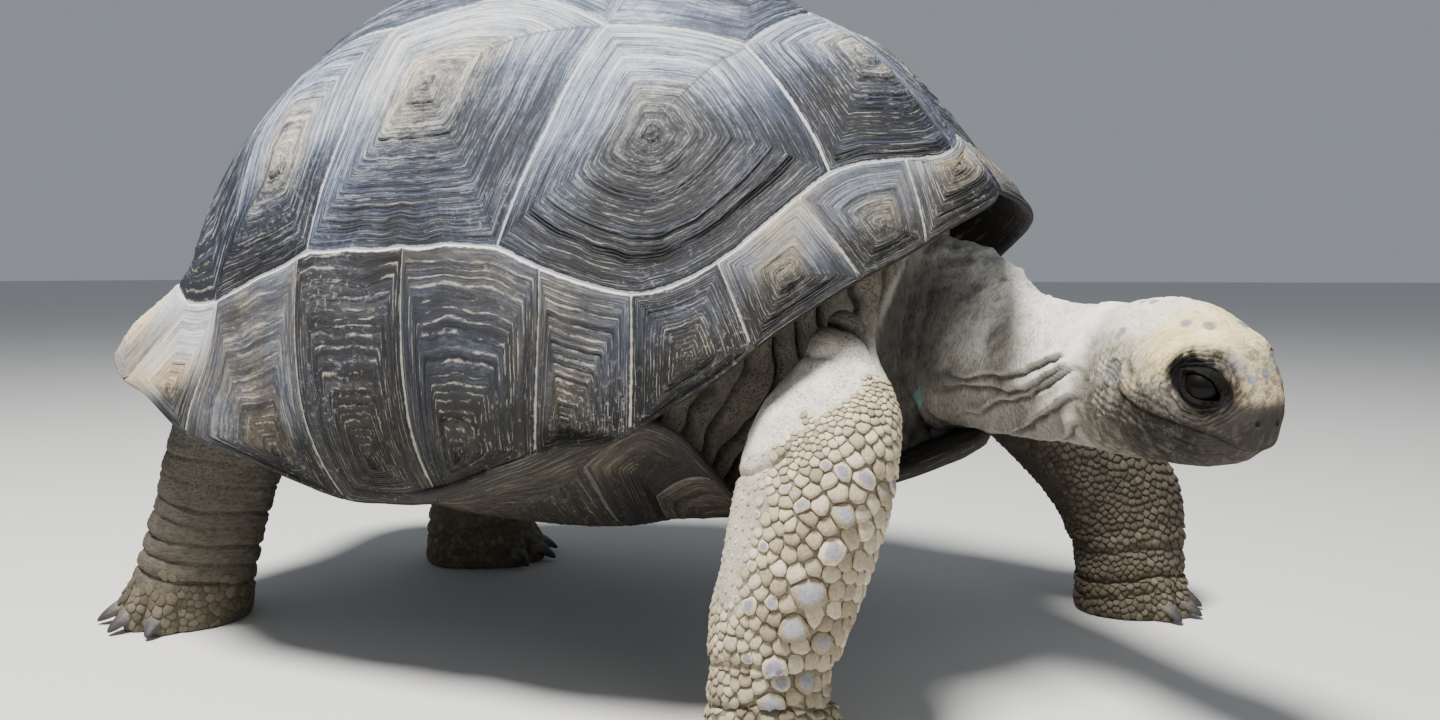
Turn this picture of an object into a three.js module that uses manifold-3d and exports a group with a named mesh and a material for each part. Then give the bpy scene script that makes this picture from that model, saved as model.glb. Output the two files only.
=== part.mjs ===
// A giant tortoise, walking, at life size. Millimetres, +X towards the head, +Y to the animal's left,
// +Z up, the soles on Z = 0. Every outline is a row of stations joined by a smooth curve.
import * as THREE from 'three';
import { mergeVertices } from 'three/addons/utils/BufferGeometryUtils.js';
import Module from 'manifold-3d';

const wasm = await Module();
wasm.setup();

// ---------------------------------------------------------------- driving dimensions
const GAP = 0.35;                  // clearance between touching solids
const SHELL_CENTRE_X = -28;        // centre of the shell's plan
const SHELL_APEX_X = -70;          // the dome's highest point lies a little behind it
const SHELL_TOP = 798;             // height of the dome before the scutes' relief
const SHELL_THICKNESS = 13;
const BRIDGE_DROP = 240;           // how fast the side turns under below its widest line
const DOME_EXPONENT = 1.08;        // above 1 the dome is a little more pointed than an ellipse
const SCUTE_RISE = 15;             // height of a scute's middle over its seams
const SEAM_DEPTH = 2.5;
const MARGIN_SCALE = 300;          // millimetres of margin to one unit of s, at the least
const PLASTRON_FLOOR = 164;        // underside of the plastron
const PLASTRON_THICKNESS = 14;
const TRUNK_CLEARANCE = 10;        // the body keeps this far from the armour where nothing shows
const FRONT_SKEW = 0.07;           // the front margin stands a little further forward on the left
const ANKLE = 58;                  // height of the cut between leg and foot
const HEAD_YAW = THREE.MathUtils.degToRad(-46.5);
const HEAD_PITCH = THREE.MathUtils.degToRad(-8.5);
const HEAD_BASE = new THREE.Vector3(571, -144, 361);   // back of the skull, at the height of the eyes
const EYE_RADIUS = 15;
const EYE = new THREE.Vector3(121, 38, 3);             // from the head's base, left eye

// The shell by bearing from its centre, 0 at the front and 180 at the rear, the same on both sides:
// radius and height of the widest line, angle at which the margin ends, and how the margin flares.
const SHELL_STATIONS = [
  { radius: 500, belt: 360, end: 66, flare: 8, lift: 2 },
  { radius: 512, belt: 372, end: 73, flare: 24, lift: 10 },
  { radius: 446, belt: 338, end: 81, flare: 24, lift: 4 },
  { radius: 394, belt: 316, end: 93, flare: 12, lift: 0 },
  { radius: 362, belt: 322, end: 106, flare: 2, lift: 0 },
  { radius: 358, belt: 324, end: 120, flare: 0, lift: 0 },
  { radius: 392, belt: 314, end: 115, flare: 8, lift: 0 },
  { radius: 452, belt: 312, end: 98, flare: 40, lift: 10 },
  { radius: 518, belt: 308, end: 87, flare: 70, lift: 18 },
  { radius: 508, belt: 320, end: 91, flare: 40, lift: 4 },
];

// The plastron's edge by bearing, and how far up the shell the flesh closes the openings.
const BELLY_STATIONS = [
  { edge: 462, height: 246, open: 0.84 },
  { edge: 412, height: 222, open: 0.82 },
  { edge: 335, height: 200, open: 0.82 },
  { edge: 384, height: 296, open: 0.84 },
  { edge: 352, height: 250, open: 0.84 },
  { edge: 322, height: 212, open: 0.82 },
  { edge: 342, height: 226, open: 0.82 },
  { edge: 335, height: 208, open: 0.80 },
  { edge: 365, height: 194, open: 0.80 },
  { edge: 400, height: 190, open: 0.84 },
];

// Middles of the scutes on the shell's unit disc: forward, sideways, and half their breadth.
const SCUTE_MIDDLES = [
  [0.66, 0, 0.20], [0.33, 0, 0.17], [0.06, 0, 0.17], [-0.24, 0, 0.18], [-0.60, 0, 0.24],
  [0.61, 0.33, 0.18], [0.355, 0.566, 0.20], [-0.078, 0.43, 0.20], [-0.385, 0.43, 0.16],
];

// ---------------------------------------------------------------- curves and solids

/** Smooth value at t (0..1) along evenly spaced numbers; `even` mirrors them at both ends. */
function along(values, t, even = false) {
  const last = values.length - 1;
  const x = THREE.MathUtils.clamp(t, 0, 1) * last;
  const i = Math.min(Math.floor(x), last - 1);
  const f = x - i;
  const before = even ? values[Math.abs(i - 1)] : values[Math.max(i - 1, 0)];
  const after = even ? values[i + 2 > last ? 2 * last - i - 2 : i + 2] : values[Math.min(i + 2, last)];
  const a = values[i];
  const b = values[i + 1];
  const bend = 2 * before - 5 * a + 4 * b - after;
  return a + 0.5 * f * (b - before + f * (bend + f * (3 * (a - b) + after - before)));
}

/** One column of a bearing table, at a bearing in degrees. */
function atBearing(stations, key, bearing) {
  const turned = Math.abs(((bearing + 540) % 360) - 180);
  return along(stations.map((station) => station[key]), turned / 180, true);
}

/** A closed geometry through rings of equal length, ended by a point on each side. */
function ringSolid(rings, first, last) {
  const n = rings[0].length;
  const points = [first, ...rings.flat(), last];
  const faces = [];
  const at = (ring, k) => 1 + ring * n + (k % n);
  for (let k = 0; k < n; k++) {
    faces.push(0, at(0, k), at(0, k + 1));
    for (let ring = 0; ring + 1 < rings.length; ring++) {
      faces.push(at(ring, k), at(ring + 1, k), at(ring + 1, k + 1));
      faces.push(at(ring, k), at(ring + 1, k + 1), at(ring, k + 1));
    }
    faces.push(points.length - 1, at(rings.length - 1, k + 1), at(rings.length - 1, k));
  }
  const geometry = new THREE.BufferGeometry();
  geometry.setAttribute('position', new THREE.Float32BufferAttribute(points.flatMap((p) => p.toArray()), 3));
  geometry.setIndex(faces);
  return geometry;
}

/** A Manifold from any closed geometry, turned so that its faces point out. */
function solid(source) {
  const bare = source.clone();
  bare.deleteAttribute('normal');
  bare.deleteAttribute('uv');
  const merged = mergeVertices(bare, 1e-3);
  const build = (triVerts) => new wasm.Manifold(new wasm.Mesh({
    numProp: 3,
    vertProperties: new Float32Array(merged.attributes.position.array),
    triVerts: new Uint32Array(triVerts),
  }));
  const made = build(merged.index.array);
  return made.volume() > 0 ? made : build([...merged.index.array].reverse());
}

/** The largest body of a Manifold as a geometry, so that a cut leaves no crumbs. */
function geometryOf(manifold) {
  const bodies = manifold.decompose();
  const body = bodies.reduce((best, next) => (next.volume() > best.volume() ? next : best));
  const mesh = body.getMesh();
  const geometry = new THREE.BufferGeometry();
  geometry.setAttribute('position', new THREE.Float32BufferAttribute(mesh.vertProperties, 3));
  geometry.setIndex([...mesh.triVerts]);
  geometry.computeVertexNormals();
  return geometry;
}

/** Angles once round, in degrees. */
function turns(count) {
  return Array.from({ length: count }, (_, k) => (360 * k) / count);
}

// ---------------------------------------------------------------- shell

/** A scute's relief on the shell's disc: a low hill at each middle, nothing at the margin. */
function relief(forward, side) {
  const hill = SCUTE_MIDDLES.reduce((most, [a, b, breadth]) => {
    const distance = Math.hypot(forward - a, Math.abs(side) - b) / breadth;
    return Math.max(most, 1 - distance);
  }, 0);
  return hill * (SCUTE_RISE + SEAM_DEPTH) - SEAM_DEPTH * THREE.MathUtils.smoothstep(1 - hill, 0.6, 1);
}

/** The smooth shell at a bearing and at s, which runs from 0 at the apex to 1 at the margin. */
function shellBase(bearing, s) {
  const station = (key) => atBearing(SHELL_STATIONS, key, bearing);
  const angle = s * THREE.MathUtils.degToRad(station('end'));
  const belt = station('belt');
  const fall = Math.cos(angle);
  const rise = fall > 0 ? (SHELL_TOP - belt) * fall ** DOME_EXPONENT : BRIDGE_DROP * fall;
  const edge = THREE.MathUtils.clamp((s - 0.8) / 0.2, 0, 1);
  const flare = 0.5 * THREE.MathUtils.smoothstep(edge, 0, 1) + 0.5 * edge * edge;
  const reach = station('radius') * Math.sin(angle) + station('flare') * flare;
  const turn = THREE.MathUtils.degToRad(bearing);
  const centre = THREE.MathUtils.lerp(SHELL_APEX_X, SHELL_CENTRE_X, Math.min(1.3 * s, 1));
  const skew = FRONT_SKEW * THREE.MathUtils.smoothstep(Math.cos(turn), 0.1, 0.9) * s * s;
  return new THREE.Vector3(
    centre + reach * (Math.cos(turn) + skew * Math.sin(turn)),
    reach * Math.sin(turn),
    belt + rise + station('lift') * flare,
  );
}

/** The shell moved `inward` along its normal. */
function shellPoint(bearing, s, inward) {
  const low = Math.max(s - 0.01, 0.004);
  const down = shellBase(bearing, s + 0.01).sub(shellBase(bearing, low));
  const round = shellBase(bearing + 1, Math.max(s, 0.02)).sub(shellBase(bearing - 1, Math.max(s, 0.02)));
  const normal = down.cross(round).normalize();
  return shellBase(bearing, s).addScaledVector(normal, -inward);
}

/** Outer point with the scutes' relief on it. */
function scutePoint(bearing, s, outward) {
  const turn = THREE.MathUtils.degToRad(bearing);
  return shellPoint(bearing, s, -outward - relief(s * Math.cos(turn), s * Math.sin(turn)));
}

const SHELL_SIDES = turns(56);
const OUTER_STEPS = [0.11, 0.22, 0.33, 0.44, 0.54, 0.64, 0.73, 0.81, 0.87, 0.93, 0.975, 1];
const INNER_STEPS = [0.99, 0.93, 0.83, 0.7, 0.52, 0.28];
const PLASTRON_SIDES = 36;

function carapaceSolid(grow = 0) {
  const further = (s) => (s > 0.98 ? s + grow / MARGIN_SCALE : s);
  const outer = OUTER_STEPS.map((s) => SHELL_SIDES.map((b) => scutePoint(b, further(s), grow)));
  const inward = SHELL_THICKNESS + grow;
  const inner = INNER_STEPS.map((s) => SHELL_SIDES.map((b) => shellPoint(b, further(s), inward)));
  const top = new THREE.Vector3(SHELL_APEX_X, 0, SHELL_TOP + relief(0, 0) + grow);
  const roof = new THREE.Vector3(SHELL_APEX_X, 0, SHELL_TOP - inward);
  return solid(ringSolid([...outer, ...inner], top, roof));
}

/** One ring of the plastron's sheet at a fraction of the way to its edge, which rises at the bridges. */
function bellyRing(fraction, raise, sides, grow = 0) {
  return turns(sides).map((bearing) => {
    const turn = THREE.MathUtils.degToRad(bearing);
    const reach = (atBearing(BELLY_STATIONS, 'edge', bearing) + grow) * fraction;
    const height = atBearing(BELLY_STATIONS, 'height', bearing) - PLASTRON_FLOOR;
    return new THREE.Vector3(
      SHELL_CENTRE_X + reach * Math.cos(turn),
      reach * Math.sin(turn),
      PLASTRON_FLOOR + height * THREE.MathUtils.smoothstep(fraction, 0.5, 1.05) + raise,
    );
  });
}

/** The plastron: a plate whose edge meets the shell at the bridges. */
function plastronSolid(grow = 0) {
  const lidHeight = PLASTRON_THICKNESS + grow;
  const ring = (fraction, raise) => bellyRing(fraction, raise, PLASTRON_SIDES, grow);
  const under = [0.45, 0.65, 0.8, 0.92, 1].map((fraction) => ring(fraction, -grow));
  const over = [1, 0.9, 0.72, 0.45].map((fraction) => ring(fraction, lidHeight));
  const base = new THREE.Vector3(SHELL_CENTRE_X, 0, PLASTRON_FLOOR - grow);
  const lid = new THREE.Vector3(SHELL_CENTRE_X, 0, PLASTRON_FLOOR + lidHeight);
  return solid(ringSolid([...under, ...over], base, lid));
}

// ---------------------------------------------------------------- flesh

/** The body inside the shell, closing its openings with skin set back under the margin. */
function trunkSolid(grow = 0) {
  const inset = SHELL_THICKNESS + TRUNK_CLEARANCE - grow;
  const floor = PLASTRON_THICKNESS + TRUNK_CLEARANCE - grow;
  const sides = 36;
  const dome = [0.18, 0.38, 0.58, 0.75, 0.9, 1].map((step) => turns(sides).map((bearing) => (
    shellPoint(bearing, atBearing(BELLY_STATIONS, 'open', bearing) * step, inset)
  )));
  const sill = bellyRing(0.84, floor, sides);
  const lip = dome[dome.length - 1];
  const skirt = [0.3, 0.65].map((step) => lip.map((from, k) => {
    const turn = THREE.MathUtils.degToRad((360 * k) / sides);
    const point = from.clone().lerp(sill[k], step);
    return point.add(new THREE.Vector3(Math.cos(turn), Math.sin(turn), 0).multiplyScalar(grow));
  }));
  const belly = [0.6, 0.3].map((fraction) => bellyRing(fraction, floor, sides));
  const roof = new THREE.Vector3(SHELL_APEX_X, 0, SHELL_TOP - inset);
  const base = new THREE.Vector3(SHELL_CENTRE_X, 0, PLASTRON_FLOOR + floor);
  return solid(ringSolid([...dome, ...skirt, sill, ...belly], roof, base));
}

const SOLE_SQUARENESS = 2.3;       // the foot is a little squarer than an ellipse
const LIMB_SIDES = 20;
const CLAW = {
  height: 24, buried: 16, radius: 13, thinner: 3, rise: 4, drop: 16,
  bend: 1.8, taper: 0.82, flatness: 0.8, sides: 7,
};

/** An oval slice: centre, two half axes, and how far it is turned about Z. */
function ovalRing(centre, halfX, halfY, turn, count, squareness = 2) {
  return turns(count).map((degrees) => {
    const angle = THREE.MathUtils.degToRad(degrees);
    const c = Math.cos(angle);
    const s = Math.sin(angle);
    const power = 2 / squareness;
    const x = halfX * Math.sign(c) * Math.abs(c) ** power;
    const y = halfY * Math.sign(s) * Math.abs(s) ** power;
    return new THREE.Vector3(
      centre.x + x * Math.cos(turn) - y * Math.sin(turn),
      centre.y + x * Math.sin(turn) + y * Math.cos(turn),
      centre.z,
    );
  });
}

/** A column of level oval slices between two heights, following a limb's table of slices. */
function limbSolid(limb, low, high, steps, grow = 0) {
  const span = (z) => THREE.MathUtils.clamp(z / limb.top, 0, 1);
  const middle = (z) => new THREE.Vector3(along(limb.x, span(z)), along(limb.y, span(z)), z);
  const rings = Array.from({ length: steps + 1 }, (_, k) => {
    const z = THREE.MathUtils.lerp(low, high, k / steps);
    const t = span(z);
    const squareness = THREE.MathUtils.lerp(SOLE_SQUARENESS, 2, t);
    const halfX = along(limb.long, t) + grow;
    const halfY = along(limb.wide, t) + grow;
    return ovalRing(middle(z), halfX, halfY, limb.turn, LIMB_SIDES, squareness);
  });
  return solid(ringSolid(rings, middle(low), middle(high)));
}

// Each limb from the sole up to `top` in even steps: where its middle is, and its half axes along
// and across the direction that the toes point in.
const LIMBS = {
  fore_right: {
    top: 372, turn: THREE.MathUtils.degToRad(-12), claws: 5, fan: 118, clawLength: 24,
    x: [272, 270, 281, 297, 309, 316, 322], y: [-303, -303, -302, -299, -290, -268, -236],
    long: [62, 54, 66, 71, 73, 66, 30], wide: [60, 51, 56, 60, 62, 58, 28],
  },
  fore_left: {
    top: 372, turn: THREE.MathUtils.degToRad(14), claws: 5, fan: 118, clawLength: 24,
    x: [594, 592, 580, 546, 488, 426, 372], y: [264, 264, 264, 261, 250, 232, 206],
    long: [70, 66, 78, 96, 98, 82, 46], wide: [60, 54, 58, 64, 68, 66, 40],
  },
  hind_right: {
    top: 340, turn: THREE.MathUtils.degToRad(-122), claws: 4, fan: 100, clawLength: 28,
    x: [-542, -528, -502, -472, -440, -402, -352], y: [-150, -152, -158, -168, -180, -190, -186],
    long: [76, 72, 69, 69, 72, 72, 56], wide: [80, 76, 72, 70, 72, 74, 58],
  },
  hind_left: {
    top: 330, turn: THREE.MathUtils.degToRad(24), claws: 4, fan: 96, clawLength: 28,
    x: [-336, -340, -336, -330, -322, -312, -298], y: [228, 227, 226, 222, 214, 204, 188],
    long: [88, 80, 78, 78, 78, 74, 56], wide: [76, 70, 70, 72, 74, 72, 56],
  },
};

/** One claw of a foot: a bent, flattened cone that starts inside the toe. The outer claws are thinner. */
function clawSolid(limb, index) {
  const share = index / (limb.claws - 1) - 0.5;
  const heading = limb.turn + THREE.MathUtils.degToRad(limb.fan) * share;
  const out = new THREE.Vector3(Math.cos(heading), Math.sin(heading), 0);
  const side = new THREE.Vector3(-out.y, out.x, 0);
  const local = heading - limb.turn;
  const reach = 1 / Math.hypot(Math.cos(local) / limb.long[0], Math.sin(local) / limb.wide[0]);
  const root = new THREE.Vector3(limb.x[0], limb.y[0], CLAW.height);
  root.addScaledVector(out, reach - CLAW.buried);
  const radius = CLAW.radius - CLAW.thinner * Math.abs(share);
  const rings = [0, 0.35, 0.65, 0.9].map((t) => {
    const centre = root.clone().addScaledVector(out, (CLAW.buried + limb.clawLength) * t);
    centre.z += CLAW.rise * t - (CLAW.rise + CLAW.drop) * t ** CLAW.bend;
    const size = radius * (1 - CLAW.taper * t ** 1.5);
    return turns(CLAW.sides).map((degrees) => {
      const angle = THREE.MathUtils.degToRad(degrees);
      const point = centre.clone().addScaledVector(side, size * Math.cos(angle));
      point.z += CLAW.flatness * size * Math.sin(angle);
      return point;
    });
  });
  const tip = root.clone().addScaledVector(out, CLAW.buried + limb.clawLength + 2);
  tip.z -= CLAW.drop + 1;
  return solid(ringSolid(rings, root, tip));
}

/** From the head's own frame (forward, left, up) to the body's. */
const headMatrix = new THREE.Matrix4().makeBasis(
  new THREE.Vector3(
    Math.cos(HEAD_YAW) * Math.cos(HEAD_PITCH),
    Math.sin(HEAD_YAW) * Math.cos(HEAD_PITCH),
    Math.sin(HEAD_PITCH),
  ),
  new THREE.Vector3(-Math.sin(HEAD_YAW), Math.cos(HEAD_YAW), 0),
  new THREE.Vector3(
    -Math.cos(HEAD_YAW) * Math.sin(HEAD_PITCH),
    -Math.sin(HEAD_YAW) * Math.sin(HEAD_PITCH),
    Math.cos(HEAD_PITCH),
  ),
).setPosition(HEAD_BASE);

// The head from the back of the skull to the beak: how far forward, top, bottom and half breadth.
const HEAD_SLICES = {
  forward: [0, 22, 46, 70, 94, 115, 134, 150, 162, 169],
  top: [46, 55, 61, 62, 58, 50, 38, 22, 6, -8],
  bottom: [-98, -96, -92, -88, -84, -79, -72, -64, -55, -44],
  half: [54, 58, 61, 62, 60, 56, 49, 39, 28, 15],
};
const MOUTH = { back: 62, corner: -26, front: -40, length: 180 };

/** A slice across the head: fuller in the cheeks above than in the throat below. */
function headRing(t, grow) {
  const forward = along(HEAD_SLICES.forward, t);
  const top = along(HEAD_SLICES.top, t) + grow;
  const bottom = along(HEAD_SLICES.bottom, t) - grow;
  const half = along(HEAD_SLICES.half, t) + grow;
  const middle = THREE.MathUtils.lerp(bottom, top, 0.46);
  return turns(20).map((degrees) => {
    const angle = THREE.MathUtils.degToRad(degrees);
    const c = Math.cos(angle);
    const s = Math.sin(angle);
    const height = s > 0 ? top - middle : middle - bottom;
    return new THREE.Vector3(forward, half * Math.sign(c) * Math.abs(c) ** 0.88, middle + height * s);
  });
}

function skullSolid(grow = 0) {
  const rings = Array.from({ length: 15 }, (_, k) => headRing(k / 14, grow));
  const back = new THREE.Vector3(-grow, 0, 0);
  const beak = new THREE.Vector3(along(HEAD_SLICES.forward, 1) + 3 + grow, 0, -26);
  if (grow > 0) rings[0].forEach((point) => point.setX(-grow));
  return solid(ringSolid(rings, back, beak).applyMatrix4(headMatrix));
}

/** The space under the line of the mouth, `lower` by half the cut between the jaws. */
function belowMouth(lower) {
  const outline = new THREE.Shape();
  outline.moveTo(MOUTH.back + lower, -120);
  outline.lineTo(MOUTH.back + lower, MOUTH.corner - lower);
  outline.lineTo(MOUTH.length, MOUTH.front - lower);
  outline.lineTo(MOUTH.length + 20, -120);
  const wedge = new THREE.ExtrudeGeometry(outline, { depth: 200, bevelEnabled: false });
  wedge.rotateX(Math.PI / 2);
  wedge.translate(0, 100, 0);
  return solid(wedge.applyMatrix4(headMatrix));
}

function eyeGeometry(side, grow = 0) {
  const ball = new THREE.SphereGeometry(EYE_RADIUS + grow, 12, 8);
  ball.translate(EYE.x, side * EYE.y, EYE.z);
  return ball.applyMatrix4(headMatrix);
}

// The neck's line from inside the trunk to the skull, with its half breadth and half height.
const NECK_LINE = new THREE.CatmullRomCurve3([
  new THREE.Vector3(300, 4, 372),
  new THREE.Vector3(392, 0, 366),
  new THREE.Vector3(462, -24, 342),
  new THREE.Vector3(522, -82, 334),
  new THREE.Vector3(567.5, -140.5, 335.5),
]);
const NECK_HALF_BREADTH = [104, 94, 68, 56, 53.5];
const NECK_HALF_HEIGHT = [112, 106, 80, 72, 71.5];

function neckSolid(grow = 0) {
  const steps = 11;
  const rings = Array.from({ length: steps + 1 }, (_, k) => {
    const t = k / steps;
    const centre = NECK_LINE.getPoint(t);
    const forward = NECK_LINE.getTangent(t);
    if (k === steps) forward.setFromMatrixColumn(headMatrix, 0);
    const side = new THREE.Vector3(-forward.y, forward.x, 0).normalize();
    const up = forward.clone().cross(side).normalize();
    return turns(20).map((degrees) => {
      const angle = THREE.MathUtils.degToRad(degrees);
      return centre.clone()
        .addScaledVector(side, (along(NECK_HALF_BREADTH, t) + grow) * Math.cos(angle))
        .addScaledVector(up, (along(NECK_HALF_HEIGHT, t) + grow) * Math.sin(angle));
    });
  });
  return solid(ringSolid(rings, NECK_LINE.getPoint(0), NECK_LINE.getPoint(1)));
}

// The tail hangs from under the rear of the shell, bent a little to the left.
const TAIL_LINE = new THREE.CatmullRomCurve3([
  new THREE.Vector3(-395, 0, 300),
  new THREE.Vector3(-462, 4, 272),
  new THREE.Vector3(-502, 14, 226),
  new THREE.Vector3(-512, 26, 176),
]);
const TAIL_RADIUS = [46, 36, 24, 9];

function tailSolid() {
  const rings = [0, 0.2, 0.4, 0.6, 0.8, 0.95].map((t) => {
    const centre = TAIL_LINE.getPoint(t);
    const forward = TAIL_LINE.getTangent(t);
    const side = new THREE.Vector3(-forward.y, forward.x, 0).normalize();
    const up = forward.clone().cross(side).normalize();
    return turns(12).map((degrees) => {
      const angle = THREE.MathUtils.degToRad(degrees);
      return centre.clone()
        .addScaledVector(side, along(TAIL_RADIUS, t) * Math.cos(angle))
        .addScaledVector(up, along(TAIL_RADIUS, t) * Math.sin(angle));
    });
  });
  return solid(ringSolid(rings, TAIL_LINE.getPoint(0), TAIL_LINE.getPoint(1)));
}

// ---------------------------------------------------------------- materials and assembly
const material = (color, roughness) => new THREE.MeshStandardMaterial({ color, roughness, metalness: 0 });
const MATERIALS = {
  carapace: material(0x5d5f66, 0.62),
  plastron: material(0x8a7a5c, 0.6),
  skin: material(0x9a9180, 0.85),
  head: material(0xa39a80, 0.75),
  claw: material(0x6f6a68, 0.5),
  eye: material(0x14110f, 0.12),
};

const group = new THREE.Group();

function addNode(name, manifold, look) {
  const mesh = new THREE.Mesh(geometryOf(manifold), look);
  mesh.name = name;
  group.add(mesh);
}

const carapace = carapaceSolid();
const carapaceGrown = carapaceSolid(GAP);
const plastron = plastronSolid().subtract(carapaceGrown);
const plastronGrown = plastronSolid(GAP);
const armour = carapaceGrown.add(plastronGrown);
const trunk = trunkSolid().subtract(armour);
const core = armour.add(trunkSolid(GAP));
addNode('carapace', carapace, MATERIALS.carapace);
addNode('plastron', plastron, MATERIALS.plastron);
addNode('trunk', trunk, MATERIALS.skin);

const skull = skullSolid();
const eyeSockets = solid(eyeGeometry(1, GAP)).add(solid(eyeGeometry(-1, GAP)));
addNode('neck', neckSolid().subtract(core).subtract(skullSolid(GAP)), MATERIALS.skin);
addNode('head', skull.subtract(belowMouth(0)).subtract(eyeSockets), MATERIALS.head);
addNode('lower_jaw', skull.intersect(belowMouth(GAP)).subtract(eyeSockets), MATERIALS.head);
addNode('eye_left', solid(eyeGeometry(1)), MATERIALS.eye);
addNode('eye_right', solid(eyeGeometry(-1)), MATERIALS.eye);

const neckGrown = neckSolid(GAP);
for (const [name, limb] of Object.entries(LIMBS)) {
  const [place, side] = name.split('_');
  const leg = limbSolid(limb, ANKLE, limb.top, 7).subtract(core).subtract(neckGrown);
  const foot = limbSolid(limb, 0, ANKLE - GAP, 3);
  const footGrown = limbSolid(limb, -GAP, ANKLE, 3, GAP);
  addNode(`${place}_leg_${side}`, leg, MATERIALS.skin);
  addNode(`${place}_foot_${side}`, foot, MATERIALS.skin);
  for (let k = 0; k < limb.claws; k++) {
    const claw = clawSolid(limb, k).subtract(footGrown);
    addNode(`${place}_claw_${side}_${k + 1}`, claw, MATERIALS.claw);
  }
}
addNode('tail', tailSolid().subtract(core), MATERIALS.skin);

// The origin is put under the middle of the whole animal, on the floor.
const bounds = new THREE.Box3().setFromObject(group);
const middle = bounds.getCenter(new THREE.Vector3());
group.position.set(-middle.x, -middle.y, -bounds.min.z);

export default group;
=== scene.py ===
"""A walking giant tortoise at life size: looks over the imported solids. Metres, +X towards the head,
+Y to the animal's left, +Z up, soles on Z = 0."""

import math

import bmesh
import bpy
import numpy as np
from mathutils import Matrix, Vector
from mathutils.bvhtree import BVHTree
from mathutils.kdtree import KDTree


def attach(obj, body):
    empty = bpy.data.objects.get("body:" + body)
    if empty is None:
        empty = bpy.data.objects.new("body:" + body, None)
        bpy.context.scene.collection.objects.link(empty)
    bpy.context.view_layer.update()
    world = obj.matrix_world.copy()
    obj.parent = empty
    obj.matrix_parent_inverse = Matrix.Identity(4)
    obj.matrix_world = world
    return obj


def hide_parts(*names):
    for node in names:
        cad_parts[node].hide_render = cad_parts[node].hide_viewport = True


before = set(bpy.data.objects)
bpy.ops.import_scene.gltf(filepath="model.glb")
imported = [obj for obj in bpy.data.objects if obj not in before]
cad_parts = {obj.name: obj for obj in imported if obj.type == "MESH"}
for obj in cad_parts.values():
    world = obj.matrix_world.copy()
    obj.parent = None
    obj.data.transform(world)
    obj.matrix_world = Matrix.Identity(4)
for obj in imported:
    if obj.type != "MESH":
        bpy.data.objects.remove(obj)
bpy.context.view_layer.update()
MM = 0.001
SIDES = ((1, "left"), (-1, "right"))

# ---------------------------------------------------------------- the solids' driving dimensions, mm
CENTRING = np.array([-25.136, 15.329, 0.0])     # from the body's own frame to the row frame
SHELL_CENTRE_X, SHELL_APEX_X, SHELL_TOP = -28.0, -70.0, 798.0
SHELL_THICKNESS = 13.0
BRIDGE_DROP, DOME_EXPONENT, FRONT_SKEW = 240.0, 1.08, 0.07
PLASTRON_FLOOR, PLASTRON_THICKNESS, TRUNK_CLEARANCE = 164.0, 14.0, 10.0
# by bearing every 20 degrees from the front: radius, belt, end, flare, lift
SHELL_STATIONS = np.array([
    (500, 360, 66, 8, 2), (512, 372, 73, 24, 10), (446, 338, 81, 24, 4), (394, 316, 93, 12, 0),
    (362, 322, 106, 2, 0), (358, 324, 120, 0, 0), (392, 314, 115, 8, 0), (452, 312, 98, 40, 10),
    (518, 308, 87, 70, 18), (508, 320, 91, 40, 4)], float)
BELLY_STATIONS = np.array([
    (462, 246, .84), (412, 222, .82), (335, 200, .82), (384, 296, .84), (352, 250, .84),
    (322, 212, .82), (342, 226, .82), (335, 208, .80), (365, 194, .80), (400, 190, .84)], float)
# limbs from the sole up: height of the top, turn, claws, fan, claw length, then x, y, long, wide
LIMBS = {
    "fore_right": (372, -12, 5, 118, 24, (272, 270, 281, 297, 309, 316, 322),
                   (-303, -303, -302, -299, -290, -268, -236), (62, 54, 66, 71, 73, 66, 30),
                   (60, 51, 56, 60, 62, 58, 28)),
    "fore_left": (372, 14, 5, 118, 24, (594, 592, 580, 546, 488, 426, 372),
                  (264, 264, 264, 261, 250, 232, 206), (70, 66, 78, 96, 98, 82, 46),
                  (60, 54, 58, 64, 68, 66, 40)),
    "hind_right": (340, -122, 4, 100, 28, (-542, -528, -502, -472, -440, -402, -352),
                   (-150, -152, -158, -168, -180, -190, -186), (76, 72, 69, 69, 72, 72, 56),
                   (80, 76, 72, 70, 72, 74, 58)),
    "hind_left": (330, 24, 4, 96, 28, (-336, -340, -336, -330, -322, -312, -298),
                  (228, 227, 226, 222, 214, 204, 188), (88, 80, 78, 78, 78, 74, 56),
                  (76, 70, 70, 72, 74, 72, 56)),
}
HEAD_YAW, HEAD_PITCH = math.radians(-46.5), math.radians(-8.5)
HEAD_BASE = np.array([571.0, -144.0, 361.0])
HEAD_FORWARD = (0, 22, 46, 70, 94, 115, 134, 150, 162, 169)
HEAD_TOP = (46, 55, 61, 62, 58, 50, 38, 22, 6, -8)
HEAD_BOTTOM = (-98, -96, -92, -88, -84, -79, -72, -64, -55, -44)
HEAD_HALF = (54, 58, 61, 62, 60, 56, 49, 39, 28, 15)
EYE = np.array([121.0, 38.0, 3.0])
EYE_RADIUS = 15.0
NECK_LINE = ((300, 4, 372), (392, 0, 366), (462, -24, 342), (522, -82, 334), (567.5, -140.5, 335.5))
NECK_HALF_BREADTH = (104, 94, 68, 56, 53.5)
NECK_HALF_HEIGHT = (112, 106, 80, 72, 71.5)
TAIL_LINE = ((-395, 0, 300), (-462, 4, 272), (-502, 14, 226), (-512, 26, 176))
TAIL_RADIUS = (46, 36, 24, 9)


# ---------------------------------------------------------------- curves and noise
def smoothstep(x, low, high):
    t = np.clip((np.asarray(x, float) - low) / (high - low), 0, 1)
    return t * t * (3 - 2 * t)


def fade(x, low, high):
    """1 up to low, falling smoothly to 0 at high."""
    return 1 - smoothstep(x, low, high)


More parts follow.
